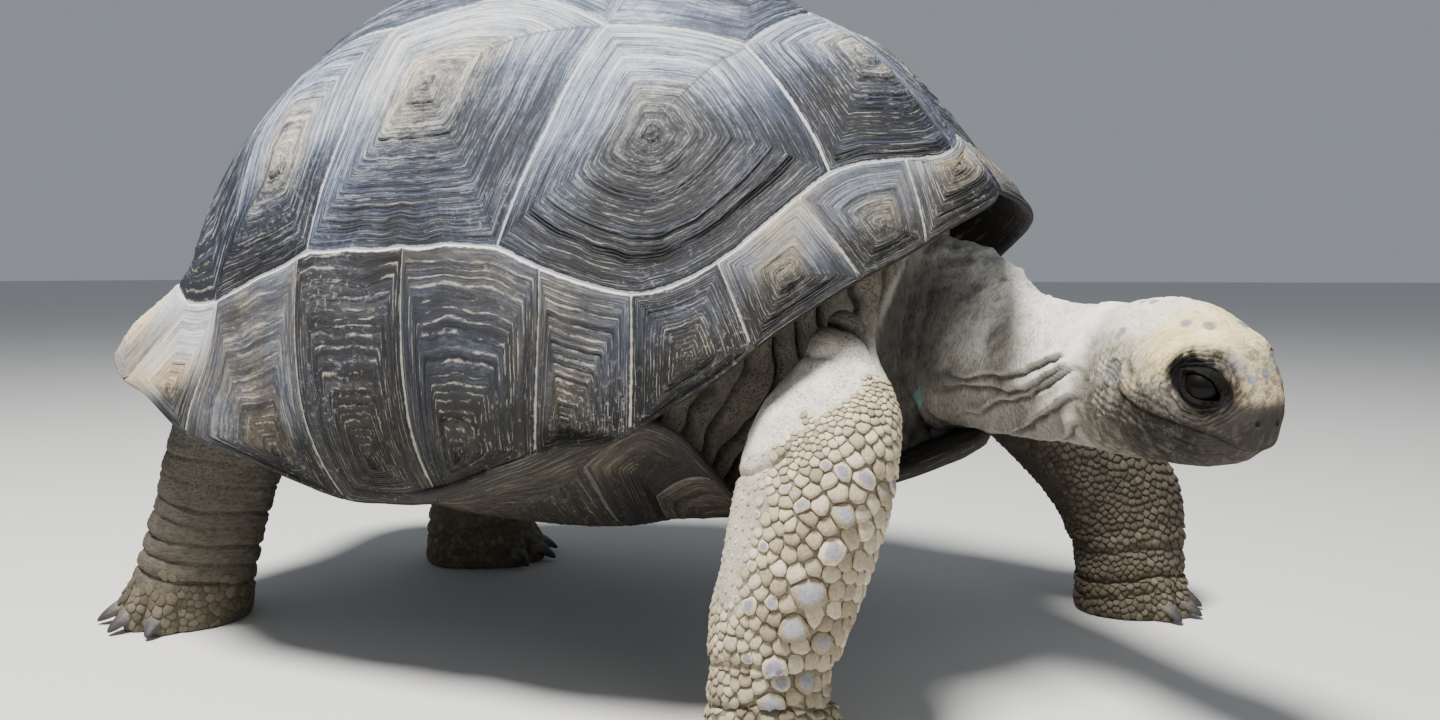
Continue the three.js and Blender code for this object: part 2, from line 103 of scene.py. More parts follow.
def bell(x, width):
    return np.exp(-(x / width) ** 2)


def bump(x, middle, width):
    """1 at the middle, falling smoothly to 0 at one width from it."""
    return fade(np.abs(np.asarray(x, float) - middle), 0, width)


def mix(a, b, t):
    return a + (b - a) * t


def along(values, t, even=False):
    """Smooth value at t (0..1) along evenly spaced rows of numbers; `even` mirrors them at both ends."""
    values = np.asarray(values, float)
    last = len(values) - 1
    x = np.clip(np.asarray(t, float), 0, 1) * last
    i = np.minimum(np.floor(x).astype(int), last - 1)
    f = x - i
    if values.ndim > 1:
        f = f[..., None]
    before = values[np.abs(i - 1) if even else np.maximum(i - 1, 0)]
    after = values[np.where(i + 2 > last, 2 * last - i - 2, i + 2) if even else np.minimum(i + 2, last)]
    a, b = values[i], values[i + 1]
    bend = 2 * before - 5 * a + 4 * b - after
    return a + 0.5 * f * (b - before + f * (bend + f * (3 * (a - b) + after - before)))


def turned(degrees):
    """The same turn between -180 and 180."""
    return (np.asarray(degrees, float) + 540) % 360 - 180


def at_bearing(stations, bearing):
    return along(stations, np.abs(turned(bearing)) / 180, True)


HASH_PRIMES, HASH_SEED, HASH_MIX = (0x9E3779B1, 0x85EBCA77, 0xC2B2AE3D), 0x27D4EB2F, np.uint64(0x2C1B3C6D)
WORD = 0xFFFFFFFF


def cube_steps(values):
    return [(x, y, z) for x in values for y in values for z in values]


CORNERS, AROUND = cube_steps((0, 1)), cube_steps((-1, 0, 1))


def lattice(cells, seed):
    """A repeatable random number for each whole-number point."""
    h = np.uint64(seed * HASH_SEED & WORD)
    for k, prime in enumerate(HASH_PRIMES):
        h = h ^ cells[..., k].astype(np.uint64) * np.uint64(prime)
    h = h & np.uint64(WORD)
    for shift in (15, 13):
        h = ((h ^ (h >> np.uint64(shift))) * HASH_MIX) & np.uint64(WORD)
    return (h ^ (h >> np.uint64(16))).astype(float) / (WORD + 0.0)


def noise(points, scale, seed=1):
    """Smooth noise between -1 and 1; `scale` is the size of its cells."""
    q = np.asarray(points, float) / scale + 4096.0
    cell = np.floor(q).astype(np.int64)
    f = q - cell
    f = f * f * (3 - 2 * f)
    total = np.zeros(q.shape[:-1])
    for corner in CORNERS:
        weight = 1.0
        for k, far in enumerate(corner):
            weight = weight * (f[..., k] if far else 1 - f[..., k])
        total += weight * lattice(cell + np.array(corner), seed)
    return 2 * total - 1


def fractal(points, scale, seed=1, octaves=3):
    return sum(0.5 ** k * noise(points, scale * 0.5 ** k, seed + k) for k in range(octaves))


def catmull(points, t):
    """A centripetal Catmull-Rom line through points, and its direction, at t (0..1)."""
    points = np.asarray(points, float)
    padded = np.vstack([2 * points[0] - points[1], points, 2 * points[-1] - points[-2]])
    last = len(points) - 1
    t = np.asarray(t, float)
    x = np.clip(t, 0, 1) * last
    i = np.minimum(np.floor(x).astype(int), last - 1)
    f = (x - i)[..., None]
    p = [padded[i + k] for k in range(4)]
    gap = [np.sqrt(np.linalg.norm(p[k + 1] - p[k], axis=-1))[..., None] for k in range(3)]
    m0 = (p[1] - p[0]) / gap[0] - (p[2] - p[0]) / (gap[0] + gap[1]) + (p[2] - p[1]) / gap[1]
    m1 = (p[2] - p[1]) / gap[1] - (p[3] - p[1]) / (gap[1] + gap[2]) + (p[3] - p[2]) / gap[2]
    m0, m1 = m0 * gap[1], m1 * gap[1]
    place = p[1] + f * m0 + f ** 2 * (3 * (p[2] - p[1]) - 2 * m0 - m1) \
        + f ** 3 * (2 * (p[1] - p[2]) + m0 + m1)
    way = m0 + 2 * f * (3 * (p[2] - p[1]) - 2 * m0 - m1) + 3 * f ** 2 * (2 * (p[1] - p[2]) + m0 + m1)
    return place, way / np.linalg.norm(way, axis=-1, keepdims=True)


def unit(v):
    return v / np.maximum(np.linalg.norm(v, axis=-1, keepdims=True), 1e-12)


def circle(count, whole=2 * math.pi):
    return np.linspace(0, whole, count, endpoint=False)


def unit_plan(bearing):
    """Points one unit out at bearings in degrees."""
    turn = np.radians(bearing)
    return np.stack([np.cos(turn), np.sin(turn)], -1)


def to_row(points_mm):
    return (points_mm + CENTRING) * MM


# teeth of the shell's margin: bearing, depth in mm, half width in degrees
RIM_TEETH = ((137, 15, 10), (63, 10, 9), (150, 6, 7), (163, 6, 7), (115.6, 3, 7), (50, 4, 6), (30.5, 3, 6))


# ---------------------------------------------------------------- the shell's surface
def rim_drop(bearing):
    off = np.abs(turned(bearing))
    return sum(depth * fade(np.abs(off - at), 0, wide) for at, depth, wide in RIM_TEETH)


def shell_base(bearing, s):
    st = at_bearing(SHELL_STATIONS, bearing)
    radius, belt, end, flare_by, lift = (st[..., k] for k in range(5))
    angle = s * np.radians(end)
    fall = np.cos(angle)
    rise = np.where(fall > 0, (SHELL_TOP - belt) * np.maximum(fall, 0) ** DOME_EXPONENT, BRIDGE_DROP * fall)
    edge = np.clip((s - 0.8) / 0.2, 0, 1)
    flare = 0.5 * smoothstep(edge, 0, 1) + 0.5 * edge * edge
    reach = radius * np.sin(angle) + flare_by * flare
    turn = np.radians(bearing)
    centre = mix(SHELL_APEX_X, SHELL_CENTRE_X, np.minimum(1.3 * s, 1))
    skew = FRONT_SKEW * smoothstep(np.cos(turn), 0.1, 0.9) * s * s
    return np.stack([centre + reach * (np.cos(turn) + skew * np.sin(turn)), reach * np.sin(turn),
                     belt + rise + lift * flare - rim_drop(bearing) * smoothstep(s, .88, 1)], -1)


def shell_normal(bearing, s):
    low = np.maximum(s - 0.01, 0.004)
    wide = np.maximum(s, 0.02)
    down = shell_base(bearing, s + 0.01) - shell_base(bearing, low)
    round_ = shell_base(bearing + 1, wide) - shell_base(bearing - 1, wide)
    return unit(np.cross(down, round_))


def shell_point(bearing, s, outward=0.0):
    """The shell's surface in mm, moved along its normal."""
    return shell_base(bearing, s) + shell_normal(bearing, s) * np.asarray(outward, float)[..., None]


def disc_point(disc, outward=0.0):
    bearing = np.degrees(np.arctan2(disc[..., 1], disc[..., 0]))
    return shell_point(bearing, np.hypot(disc[..., 0], disc[..., 1]), outward)


def belly_point(plan, raised=0.0):
    """The plastron's underside over plan points given as fractions of its edge."""
    bearing = np.degrees(np.arctan2(plan[..., 1], plan[..., 0]))
    fraction = np.hypot(plan[..., 0], plan[..., 1])
    st = at_bearing(BELLY_STATIONS, bearing)
    turn = np.radians(bearing)
    reach = st[..., 0] * fraction
    height = (st[..., 1] - PLASTRON_FLOOR) * smoothstep(fraction, 0.5, 1.05)
    return np.stack([SHELL_CENTRE_X + reach * np.cos(turn), reach * np.sin(turn),
                     PLASTRON_FLOOR + height + raised], -1)


# ---------------------------------------------------------------- meshes
def put_in_scene(name, data):
    obj = bpy.data.objects.new(name, data)
    bpy.context.scene.collection.objects.link(obj)
    return obj


def build_mesh(name, points, faces, attributes=None, uv=None, smooth=True):
    mesh = bpy.data.meshes.new(name)
    counts = np.array([len(f) for f in faces]) if isinstance(faces, list) \
        else np.full(len(faces), faces.shape[1])
    flat = np.concatenate([np.asarray(f) for f in faces]) if isinstance(faces, list) else faces.ravel()
    mesh.vertices.add(len(points))
    mesh.vertices.foreach_set("co", np.asarray(points, np.float32).ravel())
    mesh.loops.add(len(flat))
    mesh.loops.foreach_set("vertex_index", flat.astype(np.int32))
    mesh.polygons.add(len(counts))
    mesh.polygons.foreach_set("loop_start", np.concatenate([[0], np.cumsum(counts)[:-1]]).astype(np.int32))
    mesh.polygons.foreach_set("loop_total", counts.astype(np.int32))
    mesh.update(calc_edges=True)
    mesh.validate()
    for key, values in (attributes or {}).items():
        add_attribute(mesh, key, values)
    if uv is not None:
        layer = mesh.uv_layers.new(name="OFBake")
        layer.data.foreach_set("uv", np.asarray(uv, np.float32)[flat].ravel())
    mesh.polygons.foreach_set("use_smooth", np.full(len(counts), smooth))
    return put_in_scene(name, mesh)


def ring_faces(rings, n, closed=True, start=0):
    """Quads between successive rings of n points."""
    k = np.arange(n if closed else n - 1)
    j = np.arange(rings - 1)
    a = start + j[:, None] * n + k[None]
    b = start + j[:, None] * n + (k[None] + 1) % n
    return np.stack([a, a + n, b + n, b], -1).reshape(-1, 4)


class Pile:
    """Meshes gathered into one: points, quads and vertex attributes."""

    def __init__(self):
        self.points, self.faces, self.attributes, self.uv, self.count = [], [], [], [], 0

    def add(self, points, faces, attributes, uv):
        self.points.append(points)
        self.faces.append(faces + self.count)
        self.attributes.append(attributes)
        self.uv.append(uv)
        self.count += len(points)

    def build(self, name):
        keys = self.attributes[0].keys()
        joined = {key: np.concatenate([a[key] for a in self.attributes]) for key in keys}
        uv = np.concatenate(self.uv)
        low, high = uv.min(0), uv.max(0)
        uv = 0.01 + 0.98 * (uv - low) / max((high - low).max(), 1e-9)
        return build_mesh(name, np.concatenate(self.points), np.concatenate(self.faces), joined, uv)


# ---------------------------------------------------------------- horn scutes
# the marginals' upper seam: bearing, and how far out it lies
WALL = np.array([
    (0, .87), (12, .875), (17, .88), (22, .88), (26, .857), (30.6, .834), (34.4, .826), (40, .842),
    (47, .856), (51, .855), (55.6, .843), (60, .825), (67, .776), (74, .727), (81.5, .67), (90, .625),
    (99, .598), (109, .597), (118, .614), (127, .676), (138.5, .785), (147, .84), (160, .865), (180, .86)])


def wall(bearing):
    """Disc point where the marginals' upper seam lies, at a signed bearing."""
    return np.interp(np.abs(bearing), WALL[:, 0], WALL[:, 1])[..., None] * unit_plan(bearing)


def wall_run(start, end, side):
    count = max(2, int(abs(end - start) / 3) + 1)
    return [tuple(p) for p in wall(side * np.linspace(start, end, count))]


# on the disc's left half: corners of the costals' upper seams (A) and bends of the seams between costals (S)
A1, A2, A3, A3B, A4 = (.49, .16), (.448, .338), (.208, .368), (.062, .30), (-.03, .262)
A5, A6, A7, A8 = (-.18, .262), (-.40, .22), (-.481, .312), (-.497, .453)
S23, S34 = (.161, .53), (-.222, .425)
# each vertebral's corners on the left, the stretch of the wall it reaches, and its areola
V_HALVES = {
    "v1": ([A1], (17, 0), (.66, 0)), "v2": ([A3, A2, A1], None, (.33, 0)),
    "v3": ([A4, A3B, A3], None, (.08, 0)), "v4": ([A6, A5, A4], None, (-.22, 0)),
    "v5": ([A6, A7, A8], (138.5, 180), (-.60, 0)),
}


def side_scutes(side):
    """Outlines and areolae of one side's costals."""
    flip = lambda points: [(a, side * b) for a, b in points]
    return {
        "c1": (flip([A1, A2]) + wall_run(34.4, 17, side), (.61, side * .245)),
        "c2": (flip([A2, A3, S23]) + wall_run(81.5, 34.4, side), (.361, side * .537)),
        "c3": (flip([A3, A3B, A4, A5, S34]) + wall_run(117.6, 81.5, side) + flip([S23]),
               (-.067, side * .415)),
        "c4": (flip([A5, A6, A7, A8]) + wall_run(138.5, 117.6, side) + flip([S34]), (-.335, side * .438)),
    }


def middle_scutes():
    made = {}
    for name, (half, run, areola) in V_HALVES.items():
        right = list(half)
        if run:
            right += wall_run(run[0], run[1], 1)[:-1]
        left = [(a, -b) for a, b in reversed(right)]
        tip = [tuple(wall(float(run[1])))] if run else []
        made[name] = (right + tip + left, areola)
    return made


# seams of the marginals: bearing on the wall and on the rim, from the front to the rear
MARGINAL_SEAMS = ((4, 4), (25.6, 28), (38.7, 35), (49.5, 46.5), (61, 61), (74.6, 75.5), (98.4, 97),
                  (119.4, 115.6), (137.7, 137), (147.3, 150), (161.1, 163), (174.1, 173))
MARGINAL_AREOLAE = ((21, .915), (31.5, .945), (42, .94), (53.5, .95), (70.5, .955), (89, .93), (106, .90),
                    (123, .93), (141.5, .94), (156.5, .94), (168, .94))
RIM_STEP = 1.5


def rim_run(start, end):
    count = max(2, int(abs(end - start) / RIM_STEP) + 1)
    return [tuple(p) for p in unit_plan(np.linspace(start, end, count))]


def marginal_scutes():
    """Outline, areola and number of free edges, for every marginal."""
    made = {}

    def add(name, inner0, inner1, rim0, rim1, areola):
        count = max(2, int(abs(inner1 - inner0) / 2.5) + 1)
        top = [tuple(p) for p in wall(np.linspace(inner1, inner0, count))]
        rim = rim_run(rim0, rim1)
        made[name] = (rim + top, areola, len(rim) - 1)

    for side, tag in SIDES:
        for k, (bearing, s) in enumerate(MARGINAL_AREOLAE):
            (i0, r0), (i1, r1) = MARGINAL_SEAMS[k], MARGINAL_SEAMS[k + 1]
            turn = math.radians(side * bearing)
            areola = s * math.cos(turn), s * math.sin(turn)
            add(f"m{k + 1}_{tag}", side * i0, side * i1, side * r0, side * r1, areola)
    i, r = MARGINAL_SEAMS[0]
    add("nuchal", -i, i, -r, r, (.95, 0))
    i, r = MARGINAL_SEAMS[-1]
    add("supracaudal", i, 360 - i, r, 360 - r, (-.94, 0))
    return made


# a growth ring's groove, crest and back: place across the ring and height
RING_PARTS = ((0.0, -0.5), (0.26, 0.85), (0.68, 0.5))
AREOLA_REACH = .045        # share of the plate that its smooth middle takes
SEAM_WIDTH, SEAM_DEPTH = 1.8, 1.6
SKIRT_DEPTH = 2.5          # how far the edge's last row is tucked under
WAVES = 7


def outline_points(corners, solid, step, free):
    """The outline in steps, the edge each point belongs to, and 1 where the edge is a seam."""
    pts, sector, seam = [], [], []
    for k, a in enumerate(corners):
        after = (k + 1) % len(corners)
        pieces = max(1, int(round(np.linalg.norm(solid[after] - solid[k]) / step)))
        for j in range(pieces):
            pts.append(mix(a, corners[after], j / pieces))
            sector.append(k)
            seam.append(0.0 if k < free and j > 0 or 0 < k < free else 1.0)
    return np.array(pts), np.array(sector), np.array(seam)


def ring_levels(rng, rings):
    """Where a plate's rows lie (0 middle, 1 edge), their phase and height, and the rings' strength."""
    widths = rng.uniform(0.55, 1.45, rings) * np.linspace(1.25, 0.85, rings)
    marks = np.concatenate([[0], np.cumsum(widths)]) / widths.sum()
    marks = AREOLA_REACH + (1 - AREOLA_REACH) * marks
    strength = (0.25 + 2.0 * rng.random(rings) ** 3) * np.linspace(1.35, .8, rings)
    rows = [(0.0, 0.0, 0.35), (0.02, 0.3, 0.3)]
    for k in range(rings):
        width = marks[k + 1] - marks[k]
        rows += [(marks[k] + part * width, k + 1 + part, height * strength[k]) for part, height in RING_PARTS]
    rows += [(1.0, rings + 1.0, 0.0), (1.012, rings + 1.2, 0.0)]
    levels, phases, heights = np.array(rows).T
    return levels, phases, heights, marks, strength


def scute_patch(outline, areola, place, rings, step, rise, seed, free=0, relief=1.0, shade=0.0):
    """One horn plate as nested outlines round its areola: terraces, growth ridges and a seam groove.
    `place` turns disc points and heights into millimetres; the first `free` edges have no seam."""
    rng = np.random.default_rng(seed)
    corners, centre = np.array(outline, float), np.array(areola, float)
    rim, sector, seam = outline_points(corners, place(corners, np.zeros(len(corners))), step, free)
    n = len(rim)
    rim3 = place(rim, np.zeros(n))
    middle3 = place(centre[None], np.zeros(1))[0]
    spokes = np.linalg.norm(rim3 - middle3, axis=1)
    lengths = np.linalg.norm(np.roll(rim3, -1, 0) - rim3, axis=1)
    travel = np.concatenate([[0], np.cumsum(lengths)[:-1]]) * MM
    # the outline rounded off, which the inner rings tend to
    smooth = rim - centre
    for _ in range(max(3, n // 5)):
        smooth = 0.5 * smooth + 0.25 * (np.roll(smooth, 1, 0) + np.roll(smooth, -1, 0))
    levels, phases, heights, marks, strength = ring_levels(rng, rings)
    turn = np.arctan2(rim[:, 1] - centre[1], rim[:, 0] - centre[0])
    wave = np.zeros((len(levels), n))
    for _ in range(WAVES):
        f, p, drift = rng.integers(2, 17), rng.uniform(0, 6.28), rng.uniform(-0.5, 0.5)
        wave += rng.uniform(0.4, 1) * np.sin(f * turn[None] + p + drift * phases[:, None])
    wave /= 2.2
    inside = smoothstep(levels, 0.05, 0.2)[:, None] * fade(levels, 0.93, 0.99)[:, None]
    rho = np.clip(levels[:, None] * (1 + 0.008 * wave * inside), 0, 1.012)
    shape = smoothstep(1 - levels, 0.0, 0.75)[:, None, None] * 0.6
    disc = centre + rho[..., None] * mix((rim - centre)[None], smooth[None], shape)
    edge = np.maximum(1 - rho, 0) * spokes[None] * 0.8
    weights = strength ** 2
    steps = sum(w * smoothstep(rho, m - .004, m + .014) for m, w in zip(marks, weights)) / weights.sum()
    base = rise * np.clip(1 - mix(np.maximum(rho, 0.07), steps, .55), 0, 1) ** 1.12
    amount = relief * (1 + 0.35 * wave) * np.minimum(1, 0.35 + edge / 12.0)
    pressed = SEAM_DEPTH * bell(edge, SEAM_WIDTH) * seam[None]
    pressed += (levels > 1.001)[:, None] * SKIRT_DEPTH
    height = base + heights[:, None] * amount - pressed
    points = place(disc.reshape(-1, 2), height.ravel())
    # how far each sector faces SUNNY; paler there: partly bleaching, partly painted light
    facing = 0.5 + 0.5 * (unit(rim3 - middle3) @ SUNNY)
    seam_far = np.where(seam[None] > 0, edge * MM, 0.05)
    # the seams beside a free edge are fainter
    strong = np.where(((sector == free) | (sector == len(corners) - 1)) & bool(free), .25, 1.0)
    grid = lambda row: np.broadcast_to(row, (len(levels), n)).ravel().copy()
    attributes = {
        "phase": grid(phases[:, None]), "edge": seam_far.ravel(), "facing": grid(facing[None]),
        "travel": grid(travel[None]), "scute": np.full(points.shape[0], float(seed % 97)),
        "rho": rho.ravel().copy(), "pale": grid(strong[None]), "shade": np.full(points.shape[0], shade),
    }
    return to_row(points), ring_faces(len(levels), n)[:, ::-1], attributes, disc.reshape(-1, 2)


def orient(points, faces, outward):
    """Turns a patch's faces so that they look along `outward` on the whole."""
    normal = np.cross(points[faces[:, 2]] - points[faces[:, 0]], points[faces[:, 3]] - points[faces[:, 1]])
    facing = np.sum(normal * outward(points[faces].mean(1)), 1).sum()
    return faces if facing > 0 else faces[:, ::-1]


def away_from(centre):
    centre = np.array(centre, float)
    return lambda p: p - centre


SHELL_MIDDLE = (-0.05, 0.015, 0.36)
SUNNY = np.array([-.36, 0, .933])      # the scutes' sectors that look this way are paler: partly bleached horn, partly painted sunlight
# how much paler than the rest each scute is: partly its own tone, partly painted light and shade,
# paler on the top vertebrals and rear marginals as if sunlit, darker on the flank's marginals as if shaded
SHADES = {"c1": .0, "c2": .0, "c3": .18, "c4": .02, "v1": .14, "v2": .22, "v3": .36, "v4": .16, "v5": .08,
          "nuchal": .05, "m1": .02, "m2": -.19, "m3": -.01, "m4": -.37, "m5": -.27, "m6": -.29, "m7": -.44,
          "m8": -.10, "m9": .38, "m10": .68, "m11": .34, "supracaudal": .1}
FINE = 1.0


# rings, step along the outline and height of the areola over the edge, in mm
VERTEBRAL, COSTAL, BIG_COSTAL, MARGINAL = (26, 6.5, 15), (30, 6.0, 15), (38, 6.0, 15), (20, 5.0, 4.5)


def make_shell():
    """The carapace's plates in five joined meshes, the first of which is the vertebrals'."""
    piles = {tag: Pile() for tag in ("vertebrals", "costals_left", "costals_right", "marginals_left",
                                     "marginals_right")}
    plates = [("vertebrals", name, outline, areola, VERTEBRAL, 0)
              for name, (outline, areola) in middle_scutes().items()]
    for side, tag in SIDES:
        plates += [(f"costals_{tag}", name, outline, areola,
                    BIG_COSTAL if name in ("c2", "c3") else COSTAL, 0)
                   for name, (outline, areola) in side_scutes(side).items()]
    plates += [("marginals_right" if name.endswith("right") or name == "nuchal" else "marginals_left",
                name, outline, areola, MARGINAL, free)
               for name, (outline, areola, free) in marginal_scutes().items()]
    for k, (pile, name, outline, areola, (rings, step, rise), free) in enumerate(plates):
        points, faces, attributes, uv = scute_patch(
            outline, areola, disc_point, int(rings / FINE), step * FINE, rise, 18 + 7 * k, free,
            shade=SHADES[name.split("_")[0]])
        piles[pile].add(points, orient(points, faces, away_from(SHELL_MIDDLE)), attributes, uv)
    return [pile.build(f"carapace_{tag}") for tag, pile in piles.items()]


def edge_attributes(rows, count, ring, travel, scute, facing, shade):
    """Marks for a smooth edge of the shell that has no rings of its own: rows of `count` points."""
    every = lambda value: np.full(rows * count, value)
    return {"phase": np.repeat(np.arange(rows), count) * ring, "edge": every(.05), "facing": every(facing),
            "travel": np.tile(travel, rows), "scute": every(scute), "rho": every(.9), "pale": every(.0),
            "shade": every(shade)}


# how far out the rim's rows lie on the shell, and how far over its surface in mm
RIM_PROFILE = ((.985, -1.4), (.995, -.7), (1.0, -.4), (1.0035, -1.6), (1.004, -3.4), (1.002, -5.4),
               (.996, -7.4), (.985, -9.2), (.965, -10.6), (.93, -12), (.88, -13), (.82, -13), (.74, -13))


def make_rim():
    """The free edge of the shell, rounded, and its underside."""
    count, rows = int(900 / FINE), len(RIM_PROFILE)
    bearing = circle(count, 360)
    points = np.concatenate([shell_point(bearing, np.full(count, s), np.full(count, float(h)))
                             for s, h in RIM_PROFILE])
    out = shell_normal(np.tile(bearing, rows), np.repeat([p[0] for p in RIM_PROFILE], count))
    points += fractal(points, 26, 5)[:, None] * out * 0.8
    depth = np.repeat(np.arange(rows), count)
    uv = np.stack([np.tile(bearing / 360 * 4, rows), depth / rows * .3], -1)
    pile = Pile()
    pile.add(to_row(points), ring_faces(rows, count),
             edge_attributes(rows, count, 1.7, np.radians(bearing) * .5, 3.0, .3, -.1), uv)
    return pile.build("carapace_edge")


# the plastron's plates on its plan, as fractions of its edge: outline on the left half, and areola
PLATES = {
    "gular": (((1, 0), (.985, .14), (.74, .20), (.70, 0)), (.93, .05)),
    "humeral": (((.70, 0), (.74, .20), (.985, .14), (.80, .60), (.66, .74), (.42, .60), (.38, 0)),
                (.72, .45)),
    "pectoral": (((.38, 0), (.42, .60), (.66, .74), (.50, .865), (.30, .80), (.24, 0)), (.40, .70)),
    "abdominal": (((.24, 0), (.30, .80), (.50, .865), (.16, .985), (-.24, .97), (-.42, .90), (-.34, .72),
                   (-.30, 0)), (-.05, .72)),
    "femoral": (((-.30, 0), (-.34, .72), (-.42, .90), (-.66, .74), (-.78, .58), (-.68, .34), (-.62, 0)),
                (-.58, .55)),
    "anal": (((-.62, 0), (-.68, .34), (-.78, .58), (-.93, .32), (-.95, .12), (-.90, 0)), (-.82, .26)),
}


# the plastron's edge: share of its plan, and how far above the plates' face in mm
SILL_PROFILE = ((.97, .6), (1.0, 1.5), (1.008, 5), (1.004, 10), (.98, 13), (.92, 14), (.8, 14))
PLATE_RINGS, PLATE_STEP, PLATE_RISE, PLATE_RELIEF = 16, 7.0, 1.0, .6


def make_plastron():
    pile = Pile()
    halves = [(outline, areola, side) for outline, areola in PLATES.values() for side in (1, -1)]
    for k, (outline, areola, side) in enumerate(halves):
        points, faces, attributes, uv = scute_patch(
            [(a, side * b) for a, b in outline], (areola[0], side * areola[1]),
            lambda plan, h: belly_point(plan, -h), int(PLATE_RINGS / FINE), PLATE_STEP * FINE, PLATE_RISE,
            405 + 5 * k, 0, PLATE_RELIEF)
        pile.add(points, orient(points, faces, lambda p: np.array([0, 0, -1.0])[None]), attributes, uv)
    count, rows = 360, len(SILL_PROFILE)
    bearing = circle(count, 360)
    plan = unit_plan(bearing)
    # the front edge, the gulars', is nearly twice as thick
    thick = 1 + .9 * fade(np.abs((bearing + 180) % 360 - 180), 8, 34)
    points = to_row(np.concatenate([belly_point(plan * f, r * thick) for f, r in SILL_PROFILE]))
    uv = np.stack([np.tile(bearing / 360 * 2, rows) - 1, np.repeat(np.arange(rows), count) * .03 + 1.1], -1)
    pile.add(points, ring_faces(rows, count),
             edge_attributes(rows, count, 1.3, np.radians(bearing) * .4, 8.0, .4, 0.0), uv)
    return pile.build("plastron_plates")


# ---------------------------------------------------------------- flesh: the smooth body under the skin
COAT_DEPTH = 2.0       # mm that the skin lies inside the solids
SKIN_VOXEL = .0026     # m
SEEN_MARGIN = 16.0     # mm of skin kept beyond what shows
EYE_FRONT = np.array([EYE[0], EYE[1] + EYE_RADIUS, EYE[2]])


def head_axes():
    cy, sy, cp, sp = math.cos(HEAD_YAW), math.sin(HEAD_YAW), math.cos(HEAD_PITCH), math.sin(HEAD_PITCH)
    return np.array([(cy * cp, sy * cp, sp), (-sy, cy, 0.0), (-cy * sp, -sy * sp, cp)])


HEAD_AXES = head_axes()


def head_local(body_mm):
    return (body_mm - HEAD_BASE) @ HEAD_AXES.T


def head_to_body(local):
    return np.asarray(local, float) @ HEAD_AXES + HEAD_BASE


def closed_rings(rings, first, last):
    """Points and faces of a closed loft; every ring has as many points."""
    n = len(rings[0])
    points = np.vstack([np.concatenate(rings), first[None], last[None]])
    faces = [tuple(f) for f in ring_faces(len(rings), n)]
    a, b = n * len(rings), n * len(rings) + 1
    top = n * (len(rings) - 1)
    faces += [(a, k, (k + 1) % n) for k in range(n)]
    faces += [(b, top + (k + 1) % n, top + k) for k in range(n)]
    return points, faces


# the hide's underside over the plastron's, clear of its inner face
TRUNK_FLOOR = PLASTRON_THICKNESS + 4.0


def trunk_rings():
    count = 144
    bearing = circle(count, 360)
    opened = at_bearing(BELLY_STATIONS, bearing)[:, 2]
    inset = SHELL_THICKNESS + TRUNK_CLEARANCE - 4
    dome = [shell_point(bearing, opened * step, np.full(count, -inset)) for step in (.82, .88, .94, 1)]
    plan = unit_plan(bearing)
    sill = belly_point(plan * .86, np.full(count, TRUNK_FLOOR))
    skirt = [mix(dome[-1], sill, step) for step in (.12, .25, .38, .5, .63, .76, .88)]
    belly = [belly_point(plan * f, np.full(count, TRUNK_FLOOR)) for f in (.75, .6)]
    rings = dome + skirt + [sill] + belly
    top = np.array([SHELL_CENTRE_X, 0, dome[0][:, 2].mean()])
    return closed_rings(rings, top, np.array([SHELL_CENTRE_X, 0, belly[-1][:, 2].mean()]))


def oval(angle, power):
    c, s = np.cos(angle), np.sin(angle)
    return np.sign(c) * np.abs(c) ** power, np.sign(s) * np.abs(s) ** power


def limb_frame(name, z):
    """Middle and half axes of a limb at heights z, in mm."""
    top, turn, _, _, _, x, y, long, wide = LIMBS[name]
    t = np.clip(z / top, 0, 1)
    return along(x, t), along(y, t), along(long, t), along(wide, t), math.radians(turn), mix(2.3, 2.0, t)


def limb_rings(name):
    top = LIMBS[name][0]
    count = 96
    angle = circle(count)
    rings = []
    heights = np.concatenate([[0.0, 3.0, 8.0], np.arange(16, top, 8.0), [top, top + 14, top + 22]])
    for z in heights:
        x, y, long, wide, turn, square = limb_frame(name, np.array(min(z, top)))
        inset = COAT_DEPTH + (4.0 * (1 - min(z / 8.0, 1)) ** 2)
        if z > top:
            inset += (z - top) * 0.9
        ox, oy = oval(angle, 2 / float(square))
        px, py = (float(long) - inset) * ox, (float(wide) - inset) * oy
        rings.append(np.stack([float(x) + px * math.cos(turn) - py * math.sin(turn),
                               float(y) + px * math.sin(turn) + py * math.cos(turn), np.full(count, z)], -1))
    x0, y0 = rings[0][:, 0].mean(), rings[0][:, 1].mean()
    x1, y1 = rings[-1][:, 0].mean(), rings[-1][:, 1].mean()
    return closed_rings(rings, np.array([x0, y0, 0.0]), np.array([x1, y1, top + 24.0]))


def line_rings(line, half_breadth, half_height, steps, count, last_way=None, inset=COAT_DEPTH):
    t = np.linspace(0, 1, steps)
    place, way = catmull(line, t)
    if last_way is not None:
        blend = smoothstep(t, 0.8, 1)[:, None]
        way = unit(mix(way, last_way[None], blend))
    side = unit(np.stack([-way[:, 1], way[:, 0], np.zeros(steps)], -1))
    up = np.cross(way, side)
    angle = circle(count)
    a = along(half_breadth, t) - inset
    b = along(half_height, t) - inset
    rings = place[:, None] + side[:, None] * (a[:, None, None] * np.cos(angle)[None, :, None]) \
        + up[:, None] * (b[:, None, None] * np.sin(angle)[None, :, None])
    return closed_rings(list(rings), place[0], place[-1])


